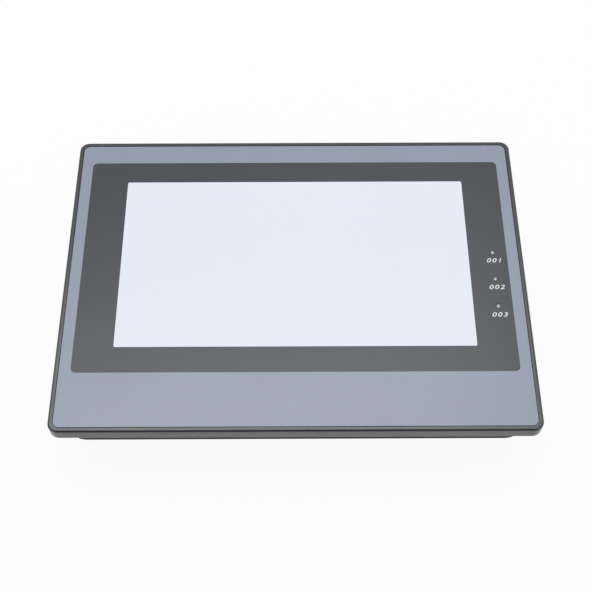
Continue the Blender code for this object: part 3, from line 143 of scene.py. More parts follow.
class TouchPanelSizes(bpy.types.PropertyGroup):
    """Sizes of the fine shapes, which the frame doesn't give."""

    bezel_corner: length("Bezel corner", 4.3, "Radius of the bezel's corners, seen from the front")
    bezel_round: length("Bezel round", 0.95, "Radius of the bezel's front edge")
    flange_depth: length("Flange depth", 6.5, "Depth of the bezel's visible edge")
    film_corner: length("Film corner", 2.8, "Radius of the front film's corners")
    film_groove: length("Film groove", 0.3, "Gap between the film and the rim round it")
    mask_corner: length("Mask corner", 2.2, "Radius of the dark print's corners")
    window_corner: length("Window corner", 0.7, "Radius of the screen window's corners")
    window_side: length("Window side", 6.0, "How far the touch panel reaches past the window at its sides")
    window_end: length("Window end", 7.35, "How far the touch panel reaches past the window above and below")
    number_height: length("Lamp number height", 2.15, "Height of the printed number under each lamp")
    number_below: length("Lamp number below", 4.2, "Distance from a lamp to the middle of its number")
    moulded_edge: length("Moulded edge", 0.25, "Radius of the edges of the moulded housing")
    pressed_edge: length("Pressed edge", 0.15, "Radius of the edges of pressed and turned metal")
    label_margin: length("Label margin", 0.4, "Gap between the bare label and the edge of its recess")


class TouchPanelColours(bpy.types.PropertyGroup):
    """Colours of the printed film, the plastics and the lit page."""

    film_light: colour("Light print", "9098AB", "Blue-grey print of the film's border")
    film_dark: colour("Dark print", "32353B", "Charcoal print of the film's mask")
    page: colour("Lit page", "E8ECF7", "Blank page that the screen shows")
    bezel: colour("Bezel", "26282B", "Moulded bezel")
    housing: colour("Housing", "2B2C2E", "Moulded rear housing")
    terminal: colour("Terminal", "2F8B52", "Moulded power terminal")
    board: colour("Board", "0F5B35", "Solder mask of the boards")
    switch: colour("Switch", "A4201F", "Moulded body of the DIP switch")


class TouchPanelStudio(bpy.types.PropertyGroup):
    """Light and camera."""

    key_power: FloatProperty(name="Key power", description="Power of the overhead softbox",
                             default=3.6, min=0.0, unit="POWER")
    world_level: FloatProperty(name="World level", description="Strength of the even light all round",
                               default=0.55, min=0.0, subtype="FACTOR")
    lens: FloatProperty(name="Lens", description="Focal length of the camera in millimetres",
                        default=66.13, min=1.0, unit="CAMERA")


class TouchPanelSettings(bpy.types.PropertyGroup):
    """All settings of the touch panel."""

    sizes: PointerProperty(type=TouchPanelSizes, name="Sizes", description="Sizes of the fine shapes")
    colours: PointerProperty(type=TouchPanelColours, name="Colours", description="Colours of the finishes")
    studio: PointerProperty(type=TouchPanelStudio, name="Studio", description="Light and camera")


# Modelling, as by hand


def rest():
    """Leave edit mode with nothing selected."""
    if bpy.context.mode != "OBJECT":
        bpy.ops.object.mode_set(mode="OBJECT")
    bpy.ops.object.select_all(action="DESELECT")


def focus(obj):
    """Select one object alone."""
    rest()
    obj.select_set(True)
    bpy.context.view_layer.objects.active = obj


def open_mesh(obj, kind, test):
    """Open a mesh in edit mode with the edges or faces selected that pass a test."""
    focus(obj)
    bpy.ops.object.mode_set(mode="EDIT")
    bpy.ops.mesh.select_mode(type=kind)
    bpy.ops.mesh.select_all(action="DESELECT")
    mesh = bmesh.from_edit_mesh(obj.data)
    for part in (mesh.edges if kind == "EDGE" else mesh.faces):
        if test(part):
            part.select_set(True)
    bmesh.update_edit_mesh(obj.data)


def along(axis):
    """A test for the edges that run along one axis."""
    return lambda edge: abs((edge.verts[1].co - edge.verts[0].co).normalized()[axis]) > PARALLEL


def at_level(axis, level):
    """A test for the edges or faces that lie at one level."""
    return lambda part: all(abs(vert.co[axis] - level) < SAME for vert in part.verts)


def placed(obj, name):
    """Name a new object and put its place in its mesh."""
    obj.name = name
    bpy.ops.object.transform_apply(location=True, rotation=True, scale=True)
    return obj


def block(name, low, high):
    """A cube at its size and place, the start of a piece or a cutter."""
    rest()
    low, high = Vector(low), Vector(high)
    bpy.ops.mesh.primitive_cube_add(size=1, location=(low + high) / 2)
    bpy.context.object.scale = high - low
    return placed(bpy.context.object, name)


def rod(name, start, end, radius, sides=ROUND_SIDES):
    """A cylinder from one point to another, the start of a piece or a cutter."""
    rest()
    start, end = Vector(start), Vector(end)
    turn = (end - start).to_track_quat("Z", "Y").to_euler()
    bpy.ops.mesh.primitive_cylinder_add(vertices=sides, radius=radius, depth=(end - start).length,
                                        location=(start + end) / 2, rotation=turn)
    return placed(bpy.context.object, name)


def round_edges(obj, radius, steps, test):
    """Round the edges that pass a test."""
    open_mesh(obj, "EDGE", test)
    bpy.ops.mesh.bevel(offset=radius, segments=steps, affect="EDGES")
    rest()


def slab(name, low, high, corner, axis=Z):
    """A block with the four edges along one axis rounded."""
    obj = block(name, low, high)
    round_edges(obj, corner, CORNER_STEPS, along(axis))
    return obj


def combine(obj, others, operation="DIFFERENCE"):
    """Cut other solids out of a piece, or join them to it."""
    for other in others:
        focus(obj)
        boolean = obj.modifiers.new(operation, "BOOLEAN")
        boolean.operation = operation
        boolean.object = other
        bpy.ops.object.modifier_apply(modifier=boolean.name)
        bpy.data.objects.remove(other)
    return obj


def soften(obj, width, steps=2):
    """Round every sharp edge a little, so that it catches the light."""
    focus(obj)
    bevel = obj.modifiers.new("edges", "BEVEL")
    bevel.width = width
    bevel.segments = steps
    bevel.limit_method = "ANGLE"
    bevel.angle_limit = SMOOTH_ANGLE
    bpy.ops.object.modifier_apply(modifier=bevel.name)
    return obj


def join(name, objs):
    """Make several solids one object."""
    rest()
    for obj in objs:
        obj.select_set(True)
    bpy.context.view_layer.objects.active = objs[0]
    bpy.ops.object.join()
    objs[0].name = name
    return objs[0]


def copies(obj, name, offsets):
    """One model repeated at each offset, every copy with its own mesh, joined in one object."""
    made = [obj]
    for offset in offsets:
        focus(obj)
        bpy.ops.object.duplicate(linked=False)
        bpy.ops.transform.translate(value=offset)
        made.append(placed(bpy.context.object, name))
    bpy.data.objects.remove(made.pop(0))
    return join(name, made)


def row_of(count, pitch):
    """Offsets of a row along X, even about its middle."""
    return [((k - (count - 1) / 2) * pitch, 0, 0) for k in range(count)]


def copy_of(node, name):
    """A merged copy of a CAD node, with its flat faces whole again."""
    obj = bpy.data.objects.new(name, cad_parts[node].data.copy())
    bpy.context.scene.collection.objects.link(obj)
    focus(obj)
    bpy.ops.mesh.customdata_custom_splitnormals_clear()
    open_mesh(obj, "FACE", lambda face: True)
    bpy.ops.mesh.remove_doubles(threshold=SAME)
    bpy.ops.mesh.dissolve_limited(angle_limit=FLAT_ANGLE)
    rest()
    return obj


def middle_of(node):
    """The middle of a CAD node's box."""
    low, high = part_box(node)
    return (low + high) / 2


def upright(name, at, low, high, radius, sides=ROUND_SIDES):
    """A cylinder that stands over a point, between two levels."""
    return rod(name, (at.x, at.y, low), (at.x, at.y, high), radius, sides)


def widened(corners, margin, back, front):
    """The corners of a block that is wider than another all round, between two levels."""
    low, high = corners
    return (low.x - margin, low.y - margin, back), (high.x + margin, high.y + margin, front)


def seat(obj, make, nodes=(), body="panel"):
    """Shade a piece, give it its finish and its body, and let it stand for its CAD nodes."""
    focus(obj)
    bpy.ops.object.shade_smooth_by_angle(angle=SMOOTH_ANGLE)
    normals = obj.modifiers.new("normals", "WEIGHTED_NORMAL")
    normals.keep_sharp = True
    bpy.ops.object.modifier_apply(modifier=normals.name)
    obj.data.materials.clear()
    obj.data.materials.append(finish(make))
    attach(obj, body)
    if nodes:
        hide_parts(*nodes)
    rest()
    return obj


def dress_copy(node, make, edge, body="panel", steps=2):
    """A copy of a CAD node with softened edges and its finish, standing for that node."""
    return seat(soften(copy_of(node, node + "_finished"), edge, steps), make, (node,), body)


def keep(node, make):
    """Give a CAD node that stays its finish."""
    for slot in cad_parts[node].material_slots:
        slot.material = finish(make)


def number(name, text, middle, height, facing=Z, slant=0.0, stretch=1.0):
    """A printed number with its middle at a place, facing out of the screen or out of the lower wall."""
    rest()
    bpy.ops.object.text_add()
    words = bpy.context.object
    words.data.body = text
    words.data.size = height / DIGIT_SHARE
    words.data.shear = slant
    words.data.space_character = 1.0 + slant
    words.data.offset = height * STROKE_SWELL
    words.data.extrude = INK / 2
    bpy.ops.object.convert(target="MESH")
    words = bpy.context.object
    open_mesh(words, "FACE", lambda face: True)
    bpy.ops.mesh.remove_doubles(threshold=SAME)
    bpy.ops.mesh.normals_make_consistent(inside=False)
    focus(words)
    bpy.ops.object.origin_set(type="ORIGIN_GEOMETRY", center="BOUNDS")
    words.location = middle
    words.scale = (stretch, 1, 1)
    words.rotation_euler = (0, 0, 0) if facing == Z else UPRIGHT
    return placed(words, name)


# Finishes


def add_node(tree, kind, sockets=None, **settings):
    """Add a node with its settings, and set its inputs or link them."""
    made = tree.nodes.new(kind)
    for name, value in settings.items():
        setattr(made, name, value)
    for name, value in (sockets or {}).items():
        if isinstance(value, bpy.types.NodeSocket):
            tree.links.new(value, made.inputs[name])
        else:
            made.inputs[name].default_value = value
    return made


def scale_of(millimetres):
    """The texture scale at which one feature of a pattern has a real size."""
    return 1 / (millimetres * MM)


def finish(make):
    """The material that a function makes, made only once."""
    if make not in FINISHES:
        FINISHES[make] = make(make.__name__)
    return FINISHES[make]


def begin(name, tint, roughness, **sockets):
    """A material with what holds all over it set on its shader.

    Returns the material, its nodes, its shader and its Object coordinates.
    """
    material = bpy.data.materials.new(name)
    material.use_nodes = True
    tree = material.node_tree
    shader = tree.nodes["Principled BSDF"]
    shader.inputs["Base Color"].default_value = (*tint, 1)
    shader.inputs["Roughness"].default_value = roughness
    for socket, value in sockets.items():
        shader.inputs[socket.replace("_", " ")].default_value = value
    return material, tree, shader, add_node(tree, "ShaderNodeTexCoord").outputs["Object"]


def grain(tree, shader, place, width, depth, detail=2.0):
    """Fine relief of a moulded or cast surface: grain width in millimetres and depth in micrometres."""
    noise = add_node(tree, "ShaderNodeTexNoise",
                     {"Vector": place, "Scale": scale_of(width), "Detail": detail})
    bump = add_node(tree, "ShaderNodeBump", {"Height": noise.outputs["Fac"], "Distance": depth * MICRON})
    tree.links.new(bump.outputs["Normal"], shader.inputs["Normal"])


def vary(tree, shader, place, width, socket, low, high):
    """Slow change of a value or colour over the surface, by patches of a width in millimetres."""
    noise = add_node(tree, "ShaderNodeTexNoise", {"Vector": place, "Scale": scale_of(width), "Detail": 3.0})
    ramp = add_node(tree, "ShaderNodeValToRGB", {"Fac": noise.outputs["Fac"]})
    for stop, at, value in zip(ramp.color_ramp.elements, PATCH_STOPS, (low, high)):
        stop.position = at
        stop.color = (*value, 1) if isinstance(value, tuple) else (value, value, value, 1)
    tree.links.new(ramp.outputs["Color"], shader.inputs[socket])


def shade(tint, share):
    """A colour made a little darker or lighter."""
    return tuple(min(1.0, part * share) for part in tint)


def colours():
    """The colours that a user would change."""
    return bpy.context.scene.touch_panel.colours


def printed_polycarbonate_light(name):
    # Hard-coated film printed on its back: an even blue-grey under a satin coat with a fine tooth
    tint = tuple(colours().film_light)
    material, tree, shader, place = begin(name, tint, 0.29, IOR=1.52)
    grain(tree, shader, place, 0.35, 1.5)
    vary(tree, shader, place, 30, "Base Color", shade(tint, 0.985), shade(tint, 1.015))
    return material


def printed_polycarbonate_dark(name):
    # The same film over charcoal ink, whose satin coat shows most on the dark print
    tint = tuple(colours().film_dark)
    material, tree, shader, place = begin(name, tint, 0.29, IOR=1.52)
    grain(tree, shader, place, 0.35, 1.5)
    vary(tree, shader, place, 30, "Base Color", shade(tint, 0.97), shade(tint, 1.03))
    return material


def lit_display_window(name):
    # Clear anti-glare window over a lit blank page: flat and pale, with hardly any reflection
    page = tuple(colours().page)
    material, tree, shader, place = begin(name, linear("30333A"), 0.42, IOR=1.45, Emission_Strength=0.93)
    shader.inputs["Specular IOR Level"].default_value = 0.25
    vary(tree, shader, place, 60, "Emission Color", shade(page, 0.992), page)
    grain(tree, shader, place, 0.35, 0.8)
    return material


def moulded_abs(name):
    # ABS from a finely etched tool: charcoal with a soft sheen on its rounded edge
    tint = tuple(colours().bezel)
    material, tree, shader, place = begin(name, tint, 0.25, IOR=1.56, Specular_IOR_Level=0.62)
    grain(tree, shader, place, 0.25, 1.2)
    vary(tree, shader, place, 12, "Roughness", 0.22, 0.29)
    return material


def spark_eroded_housing(name):
    # PC/ABS from a spark-eroded tool: dark grey with a pebbled matt grain, drawn coarse so that it shows
    tint = tuple(colours().housing)
    material, tree, shader, place = begin(name, tint, 0.55, IOR=1.55, Specular_IOR_Level=0.15)
    grain(tree, shader, place, 0.55, 14, 3.0)
    vary(tree, shader, place, 0.8, "Roughness", 0.48, 0.64)
    return material


def clear_acrylic(name):
    # Clear moulded acrylic over an unlit diode: grey and watery, with a highlight painted into the base
    # colour low and to the left in each dome
    material, tree, shader, place = begin(name, linear("9A9DA1"), 0.14, IOR=1.49, Transmission_Weight=0.15)
    # Painted highlight: its offset from each dome's middle and how far its pale patch reaches
    highlight_offset, highlight_reach = Vector((-0.30, -0.42, 0)) * MM, 1.1 * MM
    pitch = middle_of("light_pipe_1").y - middle_of("light_pipe_2").y
    middle = middle_of("light_pipe_2") + highlight_offset
    parts = add_node(tree, "ShaderNodeSeparateXYZ", {"Vector": place})
    folded = add_node(tree, "ShaderNodeMath", {0: parts.outputs["Y"], 1: middle.y + pitch / 2,
                                               2: middle.y - pitch / 2}, operation="WRAP")
    dome = add_node(tree, "ShaderNodeCombineXYZ", {"X": parts.outputs["X"], "Y": folded.outputs[0]})
    painted_highlight = add_node(tree, "ShaderNodeVectorMath", {0: dome.outputs[0], 1: (middle.x, middle.y, 0)},
                   operation="DISTANCE")
    spread = add_node(tree, "ShaderNodeMath", {0: painted_highlight.outputs["Value"], 1: highlight_reach}, operation="DIVIDE")
    # Base colour pale at the painted highlight, fading out to the acrylic's grey
    ramp = add_node(tree, "ShaderNodeValToRGB", {"Fac": spread.outputs[0]})
    ramp.color_ramp.elements[0].color = (*linear("E8EAEC"), 1)
    ramp.color_ramp.elements[0].position = 0.12
    ramp.color_ramp.elements[1].color = (*linear("96999D"), 1)
    ramp.color_ramp.elements[1].position = 0.60
    tree.links.new(ramp.outputs["Color"], shader.inputs["Base Color"])
    return material


def white_ink(name):
    # Screen-printed white ink: dense and matt, a little thin in places
    material, tree, shader, place = begin(name, linear("EDEEF1"), 0.55)
    vary(tree, shader, place, 0.4, "Base Color", linear("DDDFE3"), linear("F4F5F7"))
    return material


def epdm_rubber(name):
    # Moulded EPDM: black with a dull bloom
    material, tree, shader, place = begin(name, linear("19191B"), 0.72, IOR=1.50)
    grain(tree, shader, place, 0.30, 6)
    vary(tree, shader, place, 6, "Base Color", linear("161618"), linear("202023"))
    return material


def foam_tape(name):
    # Black closed-cell foam: open pores on its cut edge
    material, tree, shader, place = begin(name, linear("151516"), 0.9)
    grain(tree, shader, place, 0.2, 30, 4.0)
    vary(tree, shader, place, 0.3, "Base Color", linear("0E0E0F"), linear("1D1D1F"))
    return material


def zinc_plated_steel(name):
    # Bright zinc with a clear passivation: cool silver, slightly cloudy
    material, tree, shader, place = begin(name, linear("C3C6CA"), 0.28, Metallic=1.0)
    vary(tree, shader, place, 1.2, "Roughness", 0.22, 0.38)
    grain(tree, shader, place, 0.12, 1.2)
    return material


def galvanised_sheet(name):
    # Hot-dip galvanised sheet: crystals of zinc a few millimetres wide, each with its own gloss
    material, tree, shader, place = begin(name, linear("B4B8BC"), 0.36, Metallic=1.0)
    cells = add_node(tree, "ShaderNodeTexVoronoi", {"Vector": place, "Scale": scale_of(3.5)})
    ramp = add_node(tree, "ShaderNodeValToRGB", {"Fac": cells.outputs["Color"]})
    ramp.color_ramp.elements[0].color = (*linear("A2A7AC"), 1)
    ramp.color_ramp.elements[1].color = (*linear("C6C9CC"), 1)
    tree.links.new(ramp.outputs["Color"], shader.inputs["Base Color"])
    vary(tree, shader, place, 2.5, "Roughness", 0.30, 0.44)
    return material


def nickel_plated_brass(name):
    # Nickel over pressed brass: warm silver with faint handling scratches
    material, tree, shader, place = begin(name, linear("CFCBC4"), 0.24, Metallic=1.0)
    stretched = add_node(tree, "ShaderNodeMapping", {"Vector": place, "Scale": (1.0, 0.06, 1.0)})
    vary(tree, shader, stretched.outputs["Vector"], 0.35, "Roughness", 0.18, 0.32)
    grain(tree, shader, place, 0.2, 0.8)
    return material


def gold_plated_contact(name):
    # Thin gold over nickel: a warm yellow that stays bright in the dark of a socket
    material, tree, shader, place = begin(name, linear("E5BE62"), 0.22, Metallic=1.0)
    vary(tree, shader, place, 0.5, "Roughness", 0.16, 0.30)
    return material


def green_polyamide(name):
    # Moulded nylon of a terminal: mid green with a waxy sheen
    tint = tuple(colours().terminal)
    material, tree, shader, place = begin(name, tint, 0.42, IOR=1.53, Subsurface_Weight=0.05)
    shader.inputs["Subsurface Radius"].default_value = (0.0004, 0.0008, 0.0004)
    grain(tree, shader, place, 0.25, 3)
    vary(tree, shader, place, 3, "Base Color", shade(tint, 0.93), shade(tint, 1.06))
    return material


def epoxy_black(name):
    # Transfer-moulded epoxy: dark grey with a dry fine grain
    material, tree, shader, place = begin(name, linear("1F1F21"), 0.5)
    grain(tree, shader, place, 0.15, 4)
    vary(tree, shader, place, 1.5, "Base Color", linear("1B1B1D"), linear("262629"))
    return material


def black_pbt(name):
    # Moulded glass-filled polyester of socket liners: black, its gloss broken by the fibres at its skin
    material, tree, shader, place = begin(name, linear("141415"), 0.4, IOR=1.57)
    vary(tree, shader, place, 0.3, "Roughness", 0.32, 0.5)
    grain(tree, shader, place, 0.3, 2)
    return material


def red_pbt(name):
    # Moulded polyester of a switch body: clear red, half gloss
    tint = tuple(colours().switch)
    material, tree, shader, place = begin(name, tint, 0.35, IOR=1.57)
    grain(tree, shader, place, 0.3, 2)
    vary(tree, shader, place, 2, "Base Color", shade(tint, 0.92), shade(tint, 1.05))
    return material


def white_acetal(name):
    # Moulded acetal of small buttons: milky white and slippery
    material, tree, shader, place = begin(name, linear("E4E2DA"), 0.34, IOR=1.48, Subsurface_Weight=0.08)
    shader.inputs["Subsurface Radius"].default_value = (0.0008, 0.0008, 0.0007)
    vary(tree, shader, place, 1.0, "Roughness", 0.3, 0.42)
    return material


def solder_mask_board(name):
    # Green solder mask over copper: tracks show as paler straight runs
    tint = tuple(colours().board)
    material, tree, shader, place = begin(name, tint, 0.32, IOR=1.5)
    cells = add_node(tree, "ShaderNodeTexVoronoi", {"Vector": place, "Scale": scale_of(4.0)},
                     feature="F1", distance="CHEBYCHEV")
    rings = add_node(tree, "ShaderNodeMath", {0: cells.outputs["Distance"], 1: 9.0}, operation="MULTIPLY")
    waves = add_node(tree, "ShaderNodeMath", {0: rings.outputs[0]}, operation="FRACT")
    ramp = add_node(tree, "ShaderNodeValToRGB", {"Fac": waves.outputs[0]})
    ramp.color_ramp.interpolation = "CONSTANT"
    ramp.color_ramp.elements[0].color = (*tint, 1)
    ramp.color_ramp.elements[1].color = (*shade(tint, 1.7), 1)
    ramp.color_ramp.elements[1].position = 0.72
    tree.links.new(ramp.outputs["Color"], shader.inputs["Base Color"])
    grain(tree, shader, place, 0.2, 2)
    return material


def extruded_aluminium(name):
    # Aluminium pushed through a die: pale grey, with fine lines along the fins
    material, tree, shader, place = begin(name, linear("C8CACC"), 0.34, Metallic=1.0)
    stretched = add_node(tree, "ShaderNodeMapping", {"Vector": place, "Scale": (1.0, 0.03, 1.0)})
    vary(tree, shader, stretched.outputs["Vector"], 0.3, "Roughness", 0.26, 0.44)
    return material


def polyimide_film(name):
    # Flat cable in polyimide: amber and glossy, with the darker run of its conductors
    material, tree, shader, place = begin(name, linear("B97A2B"), 0.25, IOR=1.7)
    bars = add_node(tree, "ShaderNodeTexWave", {"Vector": place, "Scale": scale_of(1.0) * WAVE_RATE},
                    bands_direction="X")
    ramp = add_node(tree, "ShaderNodeValToRGB", {"Fac": bars.outputs["Fac"]})
    ramp.color_ramp.elements[0].color = (*linear("A2641F"), 1)
    ramp.color_ramp.elements[1].color = (*linear("C98A38"), 1)
    tree.links.new(ramp.outputs["Color"], shader.inputs["Base Color"])
    return material


def chemically_strengthened_glass(name):
    # Coated glass of the touch panel and the cell: nearly black when unlit, with a faint blue reflection
    material, tree, shader, place = begin(name, linear("23262B"), 0.12, IOR=1.51)
    vary(tree, shader, place, 20, "Roughness", 0.10, 0.16)
    return material


def white_light_guide(name):
    # Stack of diffuser sheets: milky white
    material, tree, shader, place = begin(name, linear("E4E6E8"), 0.4)
    vary(tree, shader, place, 8, "Base Color", linear("DDDFE2"), linear("ECEEEF"))
    return material


def silver_polyester_label(name):
    # Silver polyester label: satin, with a faint brushed grain across
    material, tree, shader, place = begin(name, linear("BFC3C7"), 0.38, Metallic=0.6)
    stretched = add_node(tree, "ShaderNodeMapping", {"Vector": place, "Scale": (0.04, 1.0, 1.0)})
    vary(tree, shader, stretched.outputs["Vector"], 0.4, "Roughness", 0.32, 0.48)
    return material


def tinted_indicator(name):
    # Tinted clear window of a link lamp, unlit
    material, tree, shader, place = begin(name, linear("7FAE6A"), 0.2, IOR=1.49, Transmission_Weight=0.2)
    vary(tree, shader, place, 0.7, "Base Color", linear("76A561"), linear("8DBA78"))
    return material


# Pieces


class TOUCHPANEL_OT_bezel(bpy.types.Operator):
    """Model the bezel with its rounded rim, the film's recess and what holds the screen behind it"""

    bl_idname = "touchpanel.bezel"
    bl_label = "Bezel"

    def execute(self, context):
        sizes = context.scene.touch_panel.sizes
        low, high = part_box("front_bezel")
        film, touch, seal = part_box("overlay_border"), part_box("touch_panel"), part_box("panel_gasket")
        collar, lcd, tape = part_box("rear_housing"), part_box("lcd_frame"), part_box("touch_tape")
        plate, back_round, groove_edge = 2.5 * MM, 0.7 * MM, 0.12 * MM
        back = high.z - sizes.flange_depth
        face = film[0].z - SEAT_GAP
        plate_back = face - plate
        ledge = lcd[1].z + SEAT_GAP, tape[0].z - SEAT_GAP
        bezel = slab("bezel_moulding", (low.x, low.y, back), high, sizes.bezel_corner)
        round_edges(bezel, sizes.bezel_round, ROUND_STEPS, at_level(Z, high.z))
        round_edges(bezel, back_round, 3, at_level(Z, back))

        groove = sizes.film_groove
        combine(bezel, [slab("recess", *widened(film, groove, face, high.z + THROUGH),
                             sizes.film_corner + groove)])
        inside = film[1] + Vector((1, 1, 0)) * 1.2 * groove
        round_edges(bezel, groove_edge, 2, lambda edge: at_level(Z, high.z)(edge) and all(
            abs(vert.co.x) < inside.x and abs(vert.co.y) < inside.y for vert in edge.verts))

        pocket, ledge_width, wall, seal_width = 0.2 * MM, 3.5 * MM, 2.4 * MM, 2.5 * MM
        shell, hollow_corner, lamp_bore = 2.2 * MM, 5.8 * MM, 1.15 * MM
        hollow = slab("hollow", *widened(collar, -shell, back - THROUGH, plate_back), hollow_corner)
        combine(hollow, [block("walls", *widened(touch, pocket + wall, back - 2 * THROUGH, high.z))])
        groove_ring = slab("groove_ring", *widened(seal, pocket, back - THROUGH, seal[1].z + SEAT_GAP),
                           sizes.bezel_corner)
        combine(groove_ring, [slab("groove_core", *widened(seal, -seal_width - pocket, back - 2 * THROUGH,
                                                           high.z), sizes.bezel_corner)])
        combine(bezel, [
            block("touch_hole", *widened(touch, pocket, ledge[1], face + THROUGH)),
            block("lcd_hole", *widened(touch, pocket, back - THROUGH, ledge[0])),
            block("view_hole", *widened(touch, -ledge_width, ledge[0] - THROUGH, ledge[1] + THROUGH)),
            hollow, groove_ring, self.tail_notch(touch, back),
        ])
        self.posts(bezel, plate_back)
        self.lamp_posts(bezel, plate_back)
        for k in LAMPS:
            combine(bezel, [upright("lamp_bore", middle_of(f"light_pipe_{k}"), plate_back - THROUGH,
                                    face + THROUGH, lamp_bore)])
        seat(bezel, moulded_abs, ("front_bezel",))
        return {"FINISHED"}

    def tail_notch(self, touch, back):
        """The cutter for the way by which the touch panel's flat cable leaves its pocket."""
        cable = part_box("touch_ribbon")
        middle = (cable[0].x + cable[1].x) / 2
        half, reach, over = 4.5 * MM, 4.4 * MM, 0.9 * MM
        return block("tail_notch", (middle - half, touch[0].y - reach, back - THROUGH),
                     (middle + half, touch[0].y + SEAT_GAP, touch[0].z + over))

    def lamp_posts(self, bezel, plate_back):
        """The two pinned posts that carry the lamp board."""
        board_low, board_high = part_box("lamp_board")
        x = middle_of("light_pipe_1").x
        inset, post_radius, pin_radius, past_board = 2.8 * MM, 1.6 * MM, 0.8 * MM, 0.4 * MM
        for y in (board_low.y + inset, board_high.y - inset):
            at = Vector((x, y, 0))
            post = upright("post", at, board_high.z + SEAT_GAP, plate_back + THROUGH, post_radius)
            pin = upright("pin", at, board_low.z - past_board, board_high.z + THROUGH, pin_radius, PIN_SIDES)
            combine(bezel, [post, pin], "UNION")

    def posts(self, bezel, plate_back):
        """The posts that take the housing's and the chassis plate's screws, with their pilot holes."""
        kinds = (("housing_screw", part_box("front_bezel")[0].z, 3.2 * MM, 1.45 * MM),
                 ("chassis_screw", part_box("chassis_plate")[1].z + SEAT_GAP, 2.5 * MM, 1.15 * MM))
        for kind, foot, radius, pilot in kinds:
            for k in CORNERS:
                at, tip = middle_of(f"{kind}_{k}"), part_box(f"{kind}_{k}")[1].z
                combine(bezel, [upright("post", at, foot, plate_back + THROUGH, radius)], "UNION")
                combine(bezel, [upright("pilot", at, foot - THROUGH, tip + THROUGH, pilot)])


class TOUCHPANEL_OT_film(bpy.types.Operator):
    """Model the front film: light border, dark mask with the lamps' holes, and the clear window"""

    bl_idname = "touchpanel.film"
    bl_label = "Front film"

    def execute(self, context):
        sizes = context.scene.touch_panel.sizes
        film, mask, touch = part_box("overlay_border"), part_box("overlay_mask"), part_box("touch_panel")
        back, front = film[0].z, film[1].z
        print_gap, film_edge, window_edge, lamp_hole = 0.02 * MM, 0.08 * MM, 0.03 * MM, 1.12 * MM
        border = slab("film_border", *film, sizes.film_corner)
        round_edges(border, film_edge, 2, at_level(Z, front))
        combine(border, [slab("mask_cut", *widened(mask, print_gap, back - THROUGH, front + THROUGH),
                              sizes.mask_corner)])
        seat(border, printed_polycarbonate_light, ("overlay_border",))

        window = (Vector((touch[0].x + sizes.window_side, touch[0].y + sizes.window_end, back)),
                  Vector((touch[1].x - sizes.window_side, touch[1].y - sizes.window_end, front)))
        dark = slab("film_mask", *mask, sizes.mask_corner)
        holes = [slab("window_cut", *widened(window, 0, back - THROUGH, front + THROUGH),
                      sizes.window_corner)]
        for k in LAMPS:
            holes.append(upright("lamp_hole", middle_of(f"light_pipe_{k}"), back - THROUGH, front + THROUGH,
                                 lamp_hole))
        combine(dark, holes)
        seat(dark, printed_polycarbonate_dark, ("overlay_mask",))

        clear = slab("film_window", *widened(window, -print_gap, back, front), sizes.window_corner)
        round_edges(clear, window_edge, 1, at_level(Z, front))
        seat(clear, lit_display_window)
        return {"FINISHED"}


class TOUCHPANEL_OT_lamps(bpy.types.Operator):
    """Model the three light pipes with their domes, and print a number under each"""

    bl_idname = "touchpanel.lamps"
    bl_label = "Status lamps"

    def execute(self, context):
        sizes = context.scene.touch_panel.sizes
        film_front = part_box("overlay_mask")[1].z
        dome, dome_round = 1.05 * MM, 0.55 * MM
        shoulder_radius, shoulder_high, shoulder_edge = 1.7 * MM, 1.4 * MM, 0.15 * MM
        number_aside, slant, stretch = 0.25 * MM, 0.25, 1.3
        for k in LAMPS:
            node = f"light_pipe_{k}"
            at, (low, high) = middle_of(node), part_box(node)
            pipe = upright(f"lamp_dome_{k}", at, low.z, high.z, dome)
            round_edges(pipe, dome_round, ROUND_STEPS, at_level(Z, high.z))
            shoulder = upright("shoulder", at, low.z, low.z + shoulder_high, shoulder_radius)
            round_edges(shoulder, shoulder_edge, 2, at_level(Z, low.z))
            combine(pipe, [shoulder], "UNION")
            seat(pipe, clear_acrylic, (node,))
            middle = (at.x + number_aside, at.y - sizes.number_below, film_front + INK / 2)
            seat(number(f"lamp_number_{k}", f"00{k}", middle, sizes.number_height, slant=slant,
                        stretch=stretch), white_ink)
        return {"FINISHED"}


class TOUCHPANEL_OT_seal(bpy.types.Operator):
    """Round the edges of the rubber seal behind the bezel's flange"""

    bl_idname = "touchpanel.seal"
    bl_label = "Panel seal"

    def execute(self, context):
        dress_copy("panel_gasket", epdm_rubber, 0.4 * MM, steps=3)
        return {"FINISHED"}


class TOUCHPANEL_OT_housing(bpy.types.Operator):
    """Finish the rear housing's moulded edges, and put a bare label in its recess"""

    bl_idname = "touchpanel.housing"
    bl_label = "Rear housing"

    def execute(self, context):
        sizes = context.scene.touch_panel.sizes
        dress_copy("rear_housing", spark_eroded_housing, sizes.moulded_edge)
        recess = Vector((-32.0, -37.0, 0.0)) * MM, Vector((32.0, -7.0, 0.4)) * MM
        back, front, corner, label_edge = 0.12 * MM, 0.36 * MM, 1.5 * MM, 0.04 * MM
        sheet = slab("bare_label", *widened(recess, -sizes.label_margin, back, front), corner)
        round_edges(sheet, label_edge, 1, at_level(Z, back))
        seat(sheet, silver_polyester_label)
        return {"FINISHED"}


